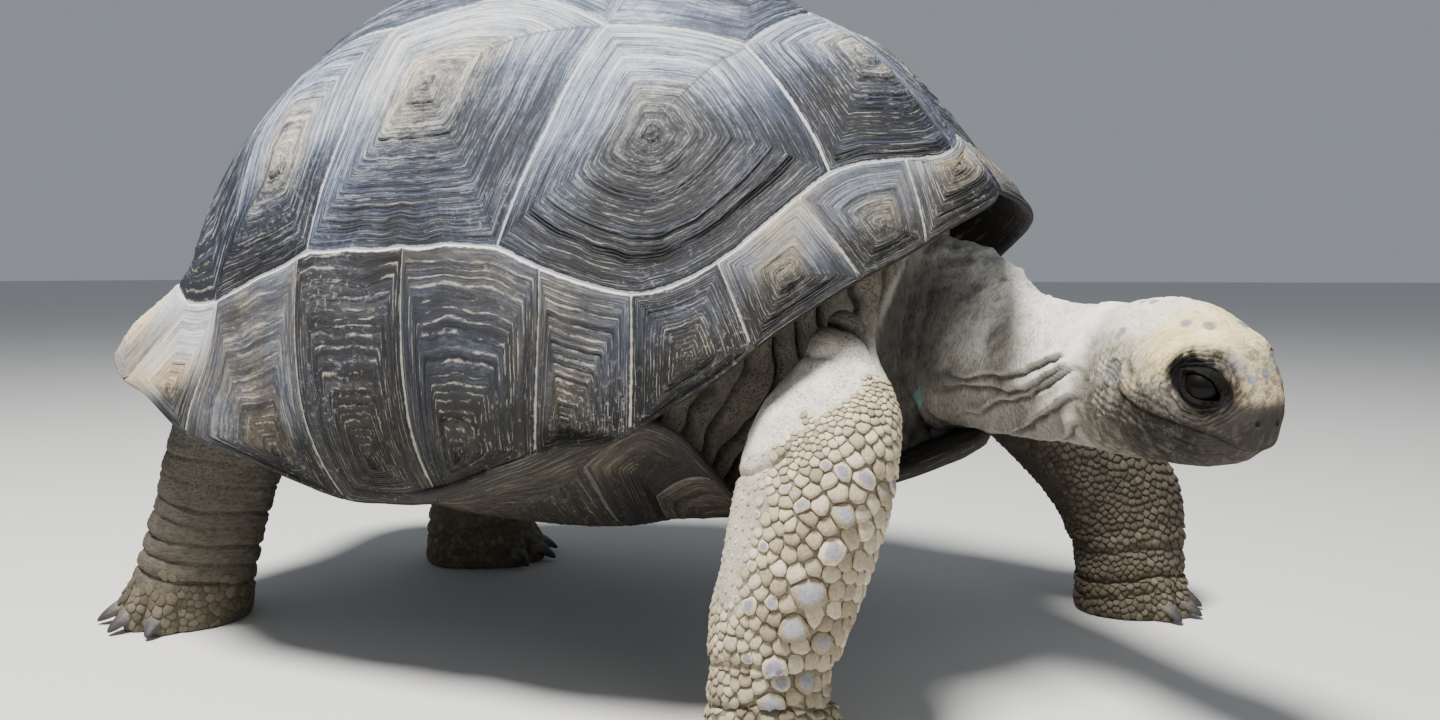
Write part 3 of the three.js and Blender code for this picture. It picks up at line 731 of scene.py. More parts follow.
def head_rings():
    steps, count = 90, 160
    t = np.linspace(0, 1, steps) ** 0.9
    angle = circle(count)
    forward = along(HEAD_FORWARD, t)
    top = along(HEAD_TOP, t) - COAT_DEPTH
    bottom = along(HEAD_BOTTOM, t) + COAT_DEPTH
    half = along(HEAD_HALF, t) - COAT_DEPTH
    middle = mix(bottom, top, .46)
    c, s = np.cos(angle), np.sin(angle)
    rings = []
    for k in range(steps):
        height = np.where(s > 0, top[k] - middle[k], middle[k] - bottom[k])
        rings.append(np.stack([np.full(count, forward[k]), half[k] * np.sign(c) * np.abs(c) ** .88,
                               middle[k] + height * s], -1))
    rings = [r - np.array([26.0, 0, 0]) if k == 0 else r for k, r in enumerate(rings)]
    points, faces = closed_rings(rings, np.array([-26.0, 0, -20.0]),
                                 np.array([HEAD_FORWARD[-1] + 1.5, 0, -26.0]))
    return head_to_body(points), faces


def outward_faces(points, faces):
    """Faces turned so that the closed mesh has a positive volume."""
    volume = 0.0
    for f in faces:
        a = points[f[0]]
        for k in range(1, len(f) - 1):
            volume += np.dot(a, np.cross(points[f[k]], points[f[k + 1]]))
    return faces if volume > 0 else [tuple(reversed(f)) for f in faces]


def vertices_of(mesh):
    co = np.zeros(len(mesh.vertices) * 3)
    mesh.vertices.foreach_get("co", co)
    return co.reshape(-1, 3)


def normals_of(mesh):
    no = np.zeros(len(mesh.vertices) * 3)
    mesh.vertex_normals.foreach_get("vector", no)
    return no.reshape(-1, 3)


def edges_of(mesh):
    e = np.zeros(len(mesh.edges) * 2, np.int64)
    mesh.edges.foreach_get("vertices", e)
    return e.reshape(-1, 2)


def relax(points, edges, passes, amount=0.5, weight=None):
    """Laplacian smoothing of points over their edges."""
    count = np.bincount(edges.ravel(), minlength=len(points)).astype(float)[:, None]
    count = np.maximum(count, 1)
    for _ in range(passes):
        total = np.stack([np.bincount(edges[:, 0], points[edges[:, 1], k], len(points))
                          + np.bincount(edges[:, 1], points[edges[:, 0], k], len(points))
                          for k in range(3)], -1)
        step = amount * (total / count - points)
        points = points + (step if weight is None else step * weight[:, None])
    return points


def union_skin(voxel):
    parts = [trunk_rings(), head_rings(),
             line_rings(NECK_LINE, NECK_HALF_BREADTH, NECK_HALF_HEIGHT, 60, 128, HEAD_AXES[0]),
             line_rings(TAIL_LINE, TAIL_RADIUS, TAIL_RADIUS, 30, 48, inset=1.0)]
    parts += [limb_rings(name) for name in LIMBS]
    points, faces, base = [], [], 0
    for part_points, part_faces in parts:
        part_faces = outward_faces(part_points, part_faces)
        points.append(part_points)
        faces += [tuple(i + base for i in f) for f in part_faces]
        base += len(part_points)
    obj = build_mesh("skin_source", to_row(np.concatenate(points)), faces)
    modifier = obj.modifiers.new("union", "REMESH")
    modifier.mode = "VOXEL"
    modifier.voxel_size = voxel
    modifier.adaptivity = 0
    graph = bpy.context.evaluated_depsgraph_get()
    mesh = bpy.data.meshes.new_from_object(obj.evaluated_get(graph))
    bpy.data.objects.remove(obj)
    return mesh


def polygons_of(mesh):
    total = np.zeros(len(mesh.polygons), np.int64)
    mesh.polygons.foreach_get("loop_total", total)
    loops = np.zeros(len(mesh.loops), np.int64)
    mesh.loops.foreach_get("vertex_index", loops)
    return total, loops


def keep_faces(points, mesh, keep_vertex):
    """Quads of the mesh whose corners are all kept, renumbered."""
    total, loops = polygons_of(mesh)
    quads = loops.reshape(-1, 4) if (total == 4).all() else None
    if quads is None:
        raise RuntimeError("the union isn't all quads")
    quads = quads[keep_vertex[quads].all(1)]
    used = np.unique(quads)
    index = np.full(len(points), -1)
    index[used] = np.arange(len(used))
    return points[used], index[quads]


def split_edges(mesh, inside):
    """Splits the faces between the chosen vertices into four."""
    bm = bmesh.new()
    bm.from_mesh(mesh)
    bm.verts.ensure_lookup_table()
    chosen = [e for e in bm.edges if inside[e.verts[0].index] and inside[e.verts[1].index]]
    bmesh.ops.subdivide_edges(bm, edges=chosen, cuts=1, use_grid_fill=True, smooth=0.0)
    bmesh.ops.triangulate(bm, faces=[f for f in bm.faces if len(f.verts) > 4])
    bm.to_mesh(mesh)
    bm.free()
    return mesh


def new_skin_mesh(points, quads):
    mesh = bpy.data.meshes.new("skin")
    mesh.from_pydata(points.tolist(), [], quads.tolist())
    return mesh


def set_points(mesh, points):
    mesh.vertices.foreach_set("co", points.astype(np.float32).ravel())
    mesh.update()


def add_attribute(mesh, key, values):
    if values.ndim == 1:
        mesh.attributes.new(key, "FLOAT", "POINT").data.foreach_set("value", values.astype(np.float32))
    else:
        rgba = np.concatenate([values, np.ones((len(values), 1))], 1).astype(np.float32)
        mesh.attributes.new(key, "FLOAT_COLOR", "POINT").data.foreach_set("color", rgba.ravel())


# ---------------------------------------------------------------- the skin's own detail
def region_weights(body):
    """How much each point in body mm belongs to the head, neck, tail and limbs, and where it lies on them."""
    info = {}
    local = head_local(body)
    info["local"], info["body"] = local, body
    t = np.linspace(0, 1, 120)
    line, way = catmull(NECK_LINE, t)
    near = np.full(len(body), 1e9)
    best = np.zeros(len(body), int)
    for k in range(len(t)):
        d = np.linalg.norm(body - line[k], axis=1)
        closer = d < near
        near[closer] = d[closer]
        best[closer] = k
    side = unit(np.stack([-way[:, 1], way[:, 0], np.zeros(len(t))], -1))
    up = np.cross(way, side)
    rel = body - line[best]
    length = np.linalg.norm(np.diff(line, axis=0), axis=1).sum()
    info["neck_t"] = np.clip(t[best] + np.sum(rel * way[best], 1) / length, 0, 1)
    info["neck_turn"] = np.degrees(np.arctan2(np.sum(rel * up[best], 1), np.sum(rel * side[best], 1)))
    allowed = mix(125.0, 78.0, smoothstep(info["neck_t"], .2, .8))
    info["neck"] = fade(near, allowed, allowed + 22) * fade(local[:, 0], -2, 30)
    inside_head = np.hypot(local[:, 1] / 80, (local[:, 2] + 18) / 100)
    info["head"] = smoothstep(local[:, 0], -14, 24) * fade(inside_head, 1.0, 1.15)
    info["neck"] *= 1 - info["head"]
    for name in LIMBS:
        x, y, long, wide, turn, _ = limb_frame(name, body[:, 2])
        dx, dy = body[:, 0] - x, body[:, 1] - y
        u = dx * math.cos(turn) + dy * math.sin(turn)
        v = -dx * math.sin(turn) + dy * math.cos(turn)
        ratio = np.hypot(u / long, v / wide)
        top = LIMBS[name][0]
        info[name] = fade(ratio, 1.08, 1.32) * fade(body[:, 2], top - 25, top + 15)
        info[name + "_turn"] = np.degrees(np.arctan2(v, u))
    tail, _ = catmull(TAIL_LINE, np.linspace(0, 1, 40))
    near_tail = np.min([np.linalg.norm(body - p, axis=1) for p in tail], axis=0)
    info["tail"] = fade(near_tail, 50, 62)
    # the turn round the neck from -90, below, over 0, 90 and 180, the left, top and right
    info["neck_round"] = np.where(info["neck_turn"] < -90, info["neck_turn"] + 360, info["neck_turn"])
    info["limbs"] = sum(info[name] for name in LIMBS)
    info["hind"] = np.maximum(info["hind_right"], info["hind_left"])
    info["loose"] = np.clip(1 - info["head"] - info["neck"] - info["tail"] - info["limbs"], 0, 1)
    return info


def fibonacci(count):
    k = np.arange(count) + 0.5
    z = 1 - 2 * k / count
    r = np.sqrt(1 - z * z)
    turn = np.pi * (1 + 5 ** 0.5) * k
    return np.stack([r * np.cos(turn), r * np.sin(turn), z], -1)


SHELL_REACH = 520                # mm from the shell's middle; hide farther out always shows
RAYS, RAY_LENGTH, RAY_START, RAY_LEAST_RISE = 30, 1500.0, 2.0, .06
PROBED = 7                       # every so many vertices are probed


def seen_from_outside(body, mesh, normals):
    """Which vertices of the union show from somewhere: what lies inside the shell is left out."""
    _, loops = polygons_of(mesh)
    quads = loops.reshape(-1, 4)
    flat = np.hypot(body[:, 0] - SHELL_CENTRE_X, body[:, 1])
    doubtful = np.flatnonzero((body[:, 2] > PLASTRON_FLOOR) & (flat < SHELL_REACH))
    cover_points, cover_faces, base = [], [], 0
    for name in ("carapace", "plastron"):
        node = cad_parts[name].data
        cover_points.append(vertices_of(node) / MM - CENTRING)
        cover_faces += [tuple(i + base for i in polygon.vertices) for polygon in node.polygons]
        base += len(node.vertices)
    tree = BVHTree.FromPolygons(np.concatenate([*cover_points, body]).tolist(),
                                cover_faces + (quads + base).tolist())
    rays = [Vector(d) for d in fibonacci(RAYS)]
    seen = KDTree(len(doubtful))
    for k in doubtful[::PROBED]:
        normal = Vector(normals[k])
        origin = Vector(body[k]) + normal * RAY_START
        if any(d.dot(normal) > RAY_LEAST_RISE and tree.ray_cast(origin, d, RAY_LENGTH)[0] is None
               for d in rays):
            seen.insert(origin, int(k))
    seen.balance()
    keep = np.ones(len(body), bool)
    for k in doubtful:
        keep[k] = seen.find(Vector(body[k]))[2] < SEEN_MARGIN
    return keep


# the finely divided head: where it starts forward; its half breadth, low and high
HEAD_FROM, HEAD_BOX = 26, (90, -115, 80)
RELAX_PASSES = 10
EYE_FINE_REACH = 26


def left_half(local):
    """Head points brought to the left half."""
    return np.abs(local) * [1, 1, 0] + local * [0, 0, 1]


def make_skin():
    mesh = union_skin(SKIN_VOXEL * (1.0))
    body = vertices_of(mesh) / MM - CENTRING
    keep = seen_from_outside(body, mesh, normals_of(mesh))
    body, quads = keep_faces(body, mesh, keep)
    inside = head_local(body)
    half, low, high = HEAD_BOX
    in_head = (inside[:, 0] > HEAD_FROM) & (np.abs(inside[:, 1]) < half) & (inside[:, 2] > low) \
        & (inside[:, 2] < high)
    mesh = split_edges(new_skin_mesh(body, quads), in_head)
    body = vertices_of(mesh)
    body = relax(body, edges_of(mesh), RELAX_PASSES, .5, (body[:, 2] > 1.5).astype(float))
    near_eye = np.linalg.norm(left_half(head_local(body)) - EYE_FRONT, axis=1) < EYE_FINE_REACH
    set_points(mesh, body)
    split_edges(mesh, near_eye)
    body = vertices_of(mesh)
    set_points(mesh, body)
    info = region_weights(body)
    moved = sculpt(body, normals_of(mesh), info)
    moved[:, 2] = np.maximum(moved[:, 2], 0)
    set_points(mesh, to_row(moved))
    for key, values in paint(body, info).items():
        add_attribute(mesh, key, values)
    atlas_layer(mesh, body, info)
    mesh.polygons.foreach_set("use_smooth", np.ones(len(mesh.polygons), bool))
    return put_in_scene("skin", mesh), info


# ---------------------------------------------------------------- sculpting, in body mm
def worley(points, scale, seed=1):
    """Distances in cells to the two nearest of one random seed per cell, and the nearest's number."""
    q = np.asarray(points, float) / scale + 2048.0
    cell = np.floor(q).astype(np.int64)
    first, second, owner = np.full(len(q), 9.0), np.full(len(q), 9.0), np.zeros(len(q))
    for step in AROUND:
        other = cell + np.array(step)
        seed_point = other + np.stack([lattice(other, seed + k) for k in range(3)], -1)
        d = np.linalg.norm(seed_point - q, axis=1)
        nearer = d < first
        second = np.where(nearer, first, np.minimum(second, d))
        owner = np.where(nearer, lattice(other, seed + 7), owner)
        first = np.where(nearer, d, first)
    return first, second, owner


# places on the head, in its own millimetres: forward and up, or forward, out and up
MOUTH_LINE = np.array([(40, -17), (55, -21), (66, -26), (85, -32), (108, -34.5), (128, -36), (146, -39.5),
                       (157, -45), (165, -53), (174, -66)])
EYE_SLOPE = math.radians(-31)
LID_HALF_LENGTH, LID_HALF_HEIGHT = 18.0, 9.6
GAZE_MIDDLE = (EYE[0] + 8.5, EYE[2] - 4.0)  # the lids' opening on the head's side: forward and up
BALL_RADIUS = 20.0
BALL_MIDDLE = (120.0, 28.0, -3.0)         # the eyeball under the lids: forward, out and up
TYMPANUM, TYMPANUM_RADIUS = (47.0, -6.0), 10.5
NOSTRIL = np.array([164.6, 11.5, -25.0])


def eye_ellipse(local):
    """How far out a head point is from the lids' opening (1 at its edge), and its distance from the eye."""
    f, u = local[:, 0] - GAZE_MIDDLE[0], local[:, 2] - GAZE_MIDDLE[1]
    p = f * math.cos(EYE_SLOPE) + u * math.sin(EYE_SLOPE)
    q = -f * math.sin(EYE_SLOPE) + u * math.cos(EYE_SLOPE)
    lower = np.where(q < 0, LID_HALF_HEIGHT * 1.08, LID_HALF_HEIGHT * .92)
    reach = (p / LID_HALF_LENGTH) ** 2 + np.sqrt((q / lower) ** 2 + .02) - .14
    return reach, np.hypot(f, u), p, q


def head_masks(local):
    """Named places on the head, each 0 to 1, and `mouth`, the height over the mouth's line in mm."""
    f, a, u = local[:, 0], np.abs(local[:, 1]), local[:, 2]
    side = smoothstep(a, 14, 30)
    _, _, p, q = eye_ellipse(local)
    from_ear = np.hypot(f - TYMPANUM[0], u - TYMPANUM[1])
    return {
        "eye": side * fade(np.hypot(p / 30, q / 17), .90, 1.12),
        "socket": side * fade(np.hypot((p - 1) / 37, (q - 5) / 27), .76, 1.08),
        "mouth": u - np.interp(f, MOUTH_LINE[:, 0], MOUTH_LINE[:, 1]),
        "in_mouth": smoothstep(f, 52, 62),
        "beak": smoothstep(f + .55 * np.maximum(-u - 20, 0), 140, 158) * fade(u, -24, -8),
        "brow": smoothstep(f, 70, 92) * smoothstep(u, 16, 34) * fade(f, 160, 172),
        "ear": side * fade(from_ear, TYMPANUM_RADIUS - 2, TYMPANUM_RADIUS + 1.5),
        "ear_rim": side * bump(from_ear, TYMPANUM_RADIUS + 2.2, 3.2),
    }


# folds of the neck: fraction along it and turn round it (0 left, 90 top, 180 right, 270 below); depth in mm
NECK_FOLDS = (
    (((.26, 203), (.45, 195), (.64, 186), (.82, 168), (.96, 156)), 5.0),
    (((.28, 214), (.49, 204), (.68, 197), (.82, 186), (.98, 166)), 4.0),
    (((.40, 236), (.52, 226), (.68, 206), (.89, 184), (1.0, 170)), 4.5),
    (((.26, 228), (.44, 249), (.60, 250), (.84, 217), (1.0, 196)), 5.0),
    (((.20, 262), (.44, 268), (.66, 262), (.86, 244), (1.0, 222)), 4.0),
    (((.14, 205), (.20, 222), (.27, 243), (.36, 262)), 6.0),
    (((.06, 195), (.11, 218), (.17, 243), (.22, 265)), 6.0),
    (((.25, -22), (.5, -14), (.75, -4), (.98, 12)), 4.0),
    (((.30, -45), (.55, -38), (.8, -22), (1.0, -6)), 4.0),
)


NECK_LENGTH, NECK_RADIUS = 330.0, 72.0


def neck_relief(info):
    """The neck's folds: each rises slowly to its edge and drops into a groove, which is also painted shade.
    """
    t = info["neck_t"]
    total, dark = np.zeros(len(t)), np.zeros(len(t))
    for line, strength in NECK_FOLDS:
        ts, angles = [p[0] for p in line], [p[1] for p in line]
        at = np.interp(t, ts, angles) + 3.5 * fractal(info["body"], 26, 117)
        off = (info["neck_round"] - at) * (math.pi / 180) * NECK_RADIUS
        ends = smoothstep(t, ts[0] - .03, ts[0] + .20) * fade(t, ts[-1] - .05, ts[-1] + .03)
        off = off * (1.0 if angles[0] > 90 else -1.0)          # downwards on either side
        flap = np.exp(np.minimum(off, 0) / 13.0) * fade(off, -4.5, 4.0)
        groove = bell(off - 3.2, 3.1)
        total += ends * strength * (.95 * flap - .6 * groove)
        dark = np.maximum(dark, ends * groove)
    return total, dark


# knobs on the neck's back: fraction along it, turn round it, breadth
COLLAR_KNOBS = ((.22, 118, 9), (.30, 120, 8), (.37, 132, 8), (.41, 112, 6), (.46, 126, 7), (.52, 108, 6),
                (.30, 92, 8), (.38, 78, 8), (.25, 65, 8), (.46, 90, 6), (.64, 105, 5), (.60, 84, 5),
                (.33, 148, 6), (.42, 150, 5))


# creases round the limbs: height, depth
HIND_CREASES = ((58, 4.2), (80, 3.0), (104, 4.4), (131, 2.2), (152, 3.6), (186, 2.0), (214, 2.6), (252, 1.6),
                (286, 1.6))
FORE_CREASES = ((50, 4.5), (88, 2.2), (30, 2.0))
# the fold at the elbow, behind which the shoulder's skin hangs over: turn round the leg, height
ELBOW_FOLD = np.array([(-180, 246), (-150, 252), (-110, 268), (-70, 292), (180, 292)])


def limb_relief(name, body, info):
    """Toes, creases and the elbow's fold of one limb, in mm outwards."""
    turn, z = info[name + "_turn"], body[:, 2]
    _, _, claws, fan, _ = LIMBS[name][:5]
    rounding = np.zeros(len(z))
    low = fade(z, 22, 62)
    apart = fan / (claws - 1)
    for k in range(claws):
        heading = fan * (k / (claws - 1) - .5)
        off = np.abs((turn - heading + 180) % 360 - 180)
        rounding += low * (8.5 * bell(off, .34 * apart) - 2.2 * bell(off - apart / 2, 3.5))
    if name.startswith("hind"):
        level = z - 15 * np.cos(np.radians(turn + 12)) + 6 * fractal(body, 90, 31)
        for k, (crease, deep) in enumerate(HIND_CREASES):
            depth = deep * (1 + .5 * fractal(body, 70, 131 + k))
            rounding -= depth * bell(level - crease, 2.4)
            rounding += .3 * depth * bell(level - crease - 9, 7.0)
        rounding += .45 * np.sin(level * 2 * math.pi / 7.5 + 5 * fractal(body, 40, 33)) \
            * smoothstep(z, 60, 90)
        return rounding
    level = z + 6.0 * np.sin(np.radians(turn * 2 + 40)) + 4 * fractal(body, 50, 37)
    for crease, depth in FORE_CREASES:
        rounding -= depth * bell(level - crease, 4.0)
        rounding += 1.5 * bell(level - crease - 13, 8.0)
    back = turn if name == "fore_right" else -turn
    fold_z = np.interp(back, ELBOW_FOLD[:, 0], ELBOW_FOLD[:, 1]) + 4 * fractal(body, 40, 39)
    there = smoothstep(-back, 70, 115)
    rounding -= there * 3.4 * bell(z - fold_z, 2.6)
    rounding += there * 1.0 * smoothstep(z, fold_z, fold_z + 8) * fade(z, fold_z + 10, fold_z + 50)
    return rounding


DRAPE_SPACING = 31.0


def drape_phase(body):
    """Counts the hanging folds of the openings' skin, one for each whole number."""
    around = np.arctan2(body[:, 1], body[:, 0] - SHELL_CENTRE_X)
    sway = 24 * np.sin((body[:, 2] - 250) / 62) * np.sign(around)
    return (around * 340 + sway + 20 * fractal(body, 80, 41)) / DRAPE_SPACING


def open_lids(local, there):
    """Head points near the lids' margin drawn onto it, so that the opening has a clean edge."""
    reach = eye_ellipse(local)[0]
    near = (reach > .78) & (reach < 1.12) & (there > .5)
    middle = np.array([GAZE_MIDDLE[0], 0, GAZE_MIDDLE[1]])
    rel = (local[near] - middle) * [1, 0, 1]
    low, high = np.full(len(rel), .6), np.full(len(rel), 1.6)
    for _ in range(24):
        factor = .5 * (low + high)
        inside = eye_ellipse(middle + rel * factor[:, None])[0] < 1
        low, high = np.where(inside, factor, low), np.where(inside, high, factor)
    moved = local.copy()
    moved[near] = local[near] + rel * (low - 1)[:, None]
    return moved


# swellings of each side of the face: forward, up, squeeze upwards, radius, height in mm
SWELLINGS = {"brow": (116, 25, 1.25, 27, 4.2), "jaw muscle": (52, -44, 1, 26, 2.5),
             "cheek": (88, -18, 1, 16, 1.8), "hollow before the eye": (146, -4, 1.2, 15, -2.2)}
# rows of wrinkles beside the mouth: below it 1 or above it -1, spacing, slant, wander and its seed, depth,
# where they begin and end from the mouth's line, and where they end forward
MOUTH_WRINKLES = ((-1, 7.0, 0, 22, 73, .6, (3, 8), (26, 40), (128, 146)),
                  (1, 5.5, .12, 18, 74, .5, (3, 7), (14, 24), (116, 134)))
CHEEK_CREASES = ((64, 10), (38, 16), (14, 14))      # forward, and how far each bends back below
# ridges and grooves round the lids: how far out, width, height in mm
LID_RIDGES = ((1.16, .12, 1.0), (1.55, .12, -1.0), (1.85, .14, .6), (2.2, .14, -.6))
LID_THICKNESS, LID_SUNK, LINING_GAP = 1.7, 3.2, 2.6
SNOUT_FROM, SNOUT_SHARE = 134, .85                  # the snout is blunter than the solid


def body_relief(body, info):
    """Heights of everything but the face, in mm along the normals."""
    d = .8 * fractal(body, 34, 3) + .5 * fractal(body, 9, 9, 2)
    neck, t = info["neck"], info["neck_t"]
    # skin folds of the openings: they hang from the shell's edge and sway round the limbs
    drape = drape_phase(body)
    pleat = np.abs((drape % 1) - .5) * 2                   # 1 in the groove, 0 on the ridge
    deep = .6 + .6 * lattice(np.stack([np.floor(drape + .5)] * 3, -1).astype(np.int64) + 500, 43)
    d += info["loose"] * (5.0 * (1 - pleat ** 2) - 8.0 * deep * bell(1 - pleat, .17))
    d += info["loose"] * 1.6 * fractal(body, 22, 51)
    for name in LIMBS:
        d += info[name] * limb_relief(name, body, info)
    d += neck * neck_relief(info)[0] * 1.45
    d += neck * 6.0 * bump(t, .36, .20) * bump(info["neck_turn"], -98, 50)      # the loose throat
    lump = np.hypot((t - .64) * NECK_LENGTH, (info["neck_round"] - 152) * math.pi / 180 * 75)
    d += neck * 5.0 * fade(lump, 6, 42) + neck * 1.1 * fractal(body, 11, 119, 2)
    # gathered rings across the neck near the shell
    ring = np.abs(np.sin(math.pi * (t * 13 + .35 * fractal(body, 60, 61))))
    d += neck * fade(t, .28, .5) * 2.2 * (ring - .5)
    for at, angle, size in COLLAR_KNOBS:
        off = np.hypot((t - at) * NECK_LENGTH, (info["neck_round"] - angle) * math.pi / 180 * 78)
        d += neck * size * .62 * bell(off, size * .75)
    return d + info["tail"] * 1.0 * np.sin(body[:, 2] / 14 * 2 * math.pi)


def with_face(d, local, head):
    """The heights d with the face's plates, swellings, mouth, ear drums, creases and wrinkles on them."""
    f, a, u = local[:, 0], np.abs(local[:, 1]), local[:, 2]
    masks = head_masks(local)
    reach, away, _, _ = eye_ellipse(local)
    side = smoothstep(a, 16, 30)
    top_of_head, no_beak = smoothstep(u, 18, 40), 1 - masks["beak"]
    first, second, _ = worley(local * [1, 1, 1.2], 13.0, 5)
    plates = smoothstep(second - first, .02, .16)
    d += head * ((plates - .8) * mix(.25, .8, top_of_head) * (1 - masks["socket"]) * no_beak)
    first, second, _ = worley(local, 5.5, 15)
    d += head * (smoothstep(second - first, .02, .2) - .8) * .45 * (1 - masks["eye"]) * (1 - top_of_head) \
        * no_beak
    for forward, up, squeeze, radius, height in SWELLINGS.values():
        d += head * side * height * bump(np.hypot(f - forward, (u - up) * squeeze), 0, radius)
    d += head * 1.6 * bump(np.hypot(f - 160, (u + 8)), 0, 16) * (1 - side)             # bridge of the nose
    # the beak's edge over the lower jaw
    mouth = masks["mouth"]
    on = head * masks["in_mouth"] * smoothstep(a + .6 * np.maximum(f - 130, 0), 8, 20)
    d -= on * 2.2 * bell(mouth, 1.3)
    d += on * 1.3 * bell(mouth - 4.5, 3.5)
    d -= on * 1.5 * smoothstep(-mouth, 0, 4) * fade(-mouth, 14, 26)
    for way, spacing, slant, wander, seed, depth, begins, ends, front in MOUTH_WRINKLES:
        lines = np.sin(mouth * 2 * math.pi / spacing + slant * (f - 60) + 4 * fractal(local, wander, seed))
        d += head * side * depth * lines * smoothstep(way * mouth, *begins) * fade(way * mouth, *ends) \
            * fade(f, *front)
    d -= 1.2 * (head * side * bell(np.hypot(f - 52, u + 21) - 4, 3.0))       # corner of the mouth
    d -= head * 1.4 * masks["ear"]
    d += head * .8 * masks["ear_rim"]
    for start, bend in CHEEK_CREASES:
        line = start - bend * np.sin(np.clip((-u - 20) / 70, 0, 1) * math.pi * .5) \
            + 2 * fractal(local, 30, 71)
        d -= head * side * 2.6 * bell(f - line, 1.9) * smoothstep(-u, 18, 30) * fade(-u, 78, 92)
    wrinkle = np.sin(away * 2 * math.pi / 3.6 + 2.5 * fractal(local, 9, 77))               # round the eye
    return d + head * side * .7 * wrinkle * smoothstep(reach, 1.5, 2.0) * fade(away, 26, 40)


def set_eye(now, head, side):
    """Lays the lids over the ball and lines their opening: how far out each head point lies."""
    reach, away, _, _ = eye_ellipse(now)
    off_ball = np.hypot(now[:, 0] - BALL_MIDDLE[0], now[:, 2] - BALL_MIDDLE[2])
    over_ball = lambda radius: np.sqrt(np.maximum(radius ** 2 - off_ball ** 2, 0))
    out = np.abs(now[:, 1])
    sphere, sunk = BALL_MIDDLE[1] + over_ball(BALL_RADIUS + LID_THICKNESS), out - LID_SUNK
    lid = .5 * (sphere + sunk + np.sqrt((sphere - sunk) ** 2 + 3.0))          # the greater of both, blended
    for at, width, height in LID_RIDGES:
        lid = lid + height * bell(reach - at, width)
    out = mix(out, np.minimum(lid, out + 6), head * side * fade(away, 20, 31))
    return mix(out, BALL_MIDDLE[1] - LINING_GAP + over_ball(BALL_RADIUS),
               head * side * fade(reach, .955, .985))


def sculpt(body, normals, info):
    """The smooth skin moved along its normals into folds, creases, toes and the face."""
    local, head = info["local"], info["head"]
    side = smoothstep(np.abs(local[:, 1]), 16, 30)
    moved = body + normals * with_face(body_relief(body, info), local, head)[:, None]
    now = open_lids(head_local(moved), head * side)
    now[:, 1] = np.where(head > .01, np.sign(now[:, 1]) * set_eye(now, head, side), now[:, 1])
    beyond = now[:, 0] - SNOUT_FROM
    now[:, 0] = np.where(now[:, 0] > SNOUT_FROM, SNOUT_FROM + beyond * mix(1.0, SNOUT_SHARE, head), now[:, 0])
    pit = np.linalg.norm(left_half(now) - NOSTRIL, axis=1)
    now[:, 0] -= head * 4.0 * fade(pit, .8, 3.0) - head * .5 * bump(pit, 3.8, 2.4)
    return np.where(head[:, None] > .01, head_to_body(now), moved)


# ---------------------------------------------------------------- the skin's markings
# some of these stand for painted light and shade, as said where each is laid
PIGMENTS = {
    "hide": (.175, .158, .128), "pale foreleg and painted sunlight": (.68, .64, .55), "its scales": (.43, .375, .275),
    "its knobs": (.50, .455, .365), "far foreleg in painted shade": (.056, .049, .037), "hind legs": (.078, .072, .058),
    "tail": (.10, .092, .074), "neck": (.55, .52, .45), "neck's sunlit top": (.80, .78, .71),
    "painted shadow at the neck's root": (.030, .028, .025), "neck's shaded throat": (.30, .28, .24), "neck's lump": (.33, .29, .22),
    "head": (.36, .335, .27), "head's top": (.72, .69, .58), "lower face": (.20, .188, .155),
    "jaws": (.032, .029, .024), "jaw streaks": (.13, .12, .10), "brow": (.72, .58, .30),
    "temple": (.72, .56, .27), "snout": (.44, .355, .215), "snout streaks": (.13, .11, .075),
    "cheek": (.38, .31, .17),
    "face streaks": (.10, .09, .075), "spots": (.15, .165, .21), "before the brow": (.25, .27, .30),
    "below the eye": (.040, .034, .028), "socket": (.024, .020, .016), "lids": (.0045, .004, .0036),
    "beak": (.045, .040, .034), "beak streaks": (.10, .088, .07), "nose": (.05, .045, .04),
    "mouth": (.022, .019, .015), "ear drum": (.15, .16, .155), "painted shade in the neck's grooves": (.05, .044, .036),
    "stain": (.12, .36, .33), "dust": (.15, .128, .092), "painted shade in the drape's grooves": (.03, .027, .022),
    "drape patches": (.095, .085, .068),
}


def fine_wrinkles(body, info, drape):
    """Where the hide's finest wrinkles run, along the part and round it in metres, and how strong."""
    along_, round_, folded = drape * DRAPE_SPACING * MM, body[:, 2] * MM, info["loose"] * .8
    head, neck, local, t = info["head"], info["neck"], info["local"], info["neck_t"]
    parts = [(info[name], body[:, 2] * MM, np.radians(info[name + "_turn"]) * .07,
              .8 if name.startswith("hind") else .35) for name in LIMBS]
    parts += [(neck, t * NECK_LENGTH * MM, np.radians(info["neck_round"]) * .075, fade(t, .84, .96) * .8),
              (head, eye_ellipse(local)[1] * .8 * MM, local[:, 2] * .5 * MM,
               (.85 - .5 * smoothstep(local[:, 2], 10, 30)) * smoothstep(np.abs(local[:, 1]), 8, 24))]
    for weight, lengthwise, round_part, strength in parts:
        here = weight > .5
        along_, round_ = np.where(here, lengthwise, along_), np.where(here, round_part, round_)
        folded = np.where(here, smoothstep(weight, .5, .95) * strength, folded)
    return along_, round_, folded


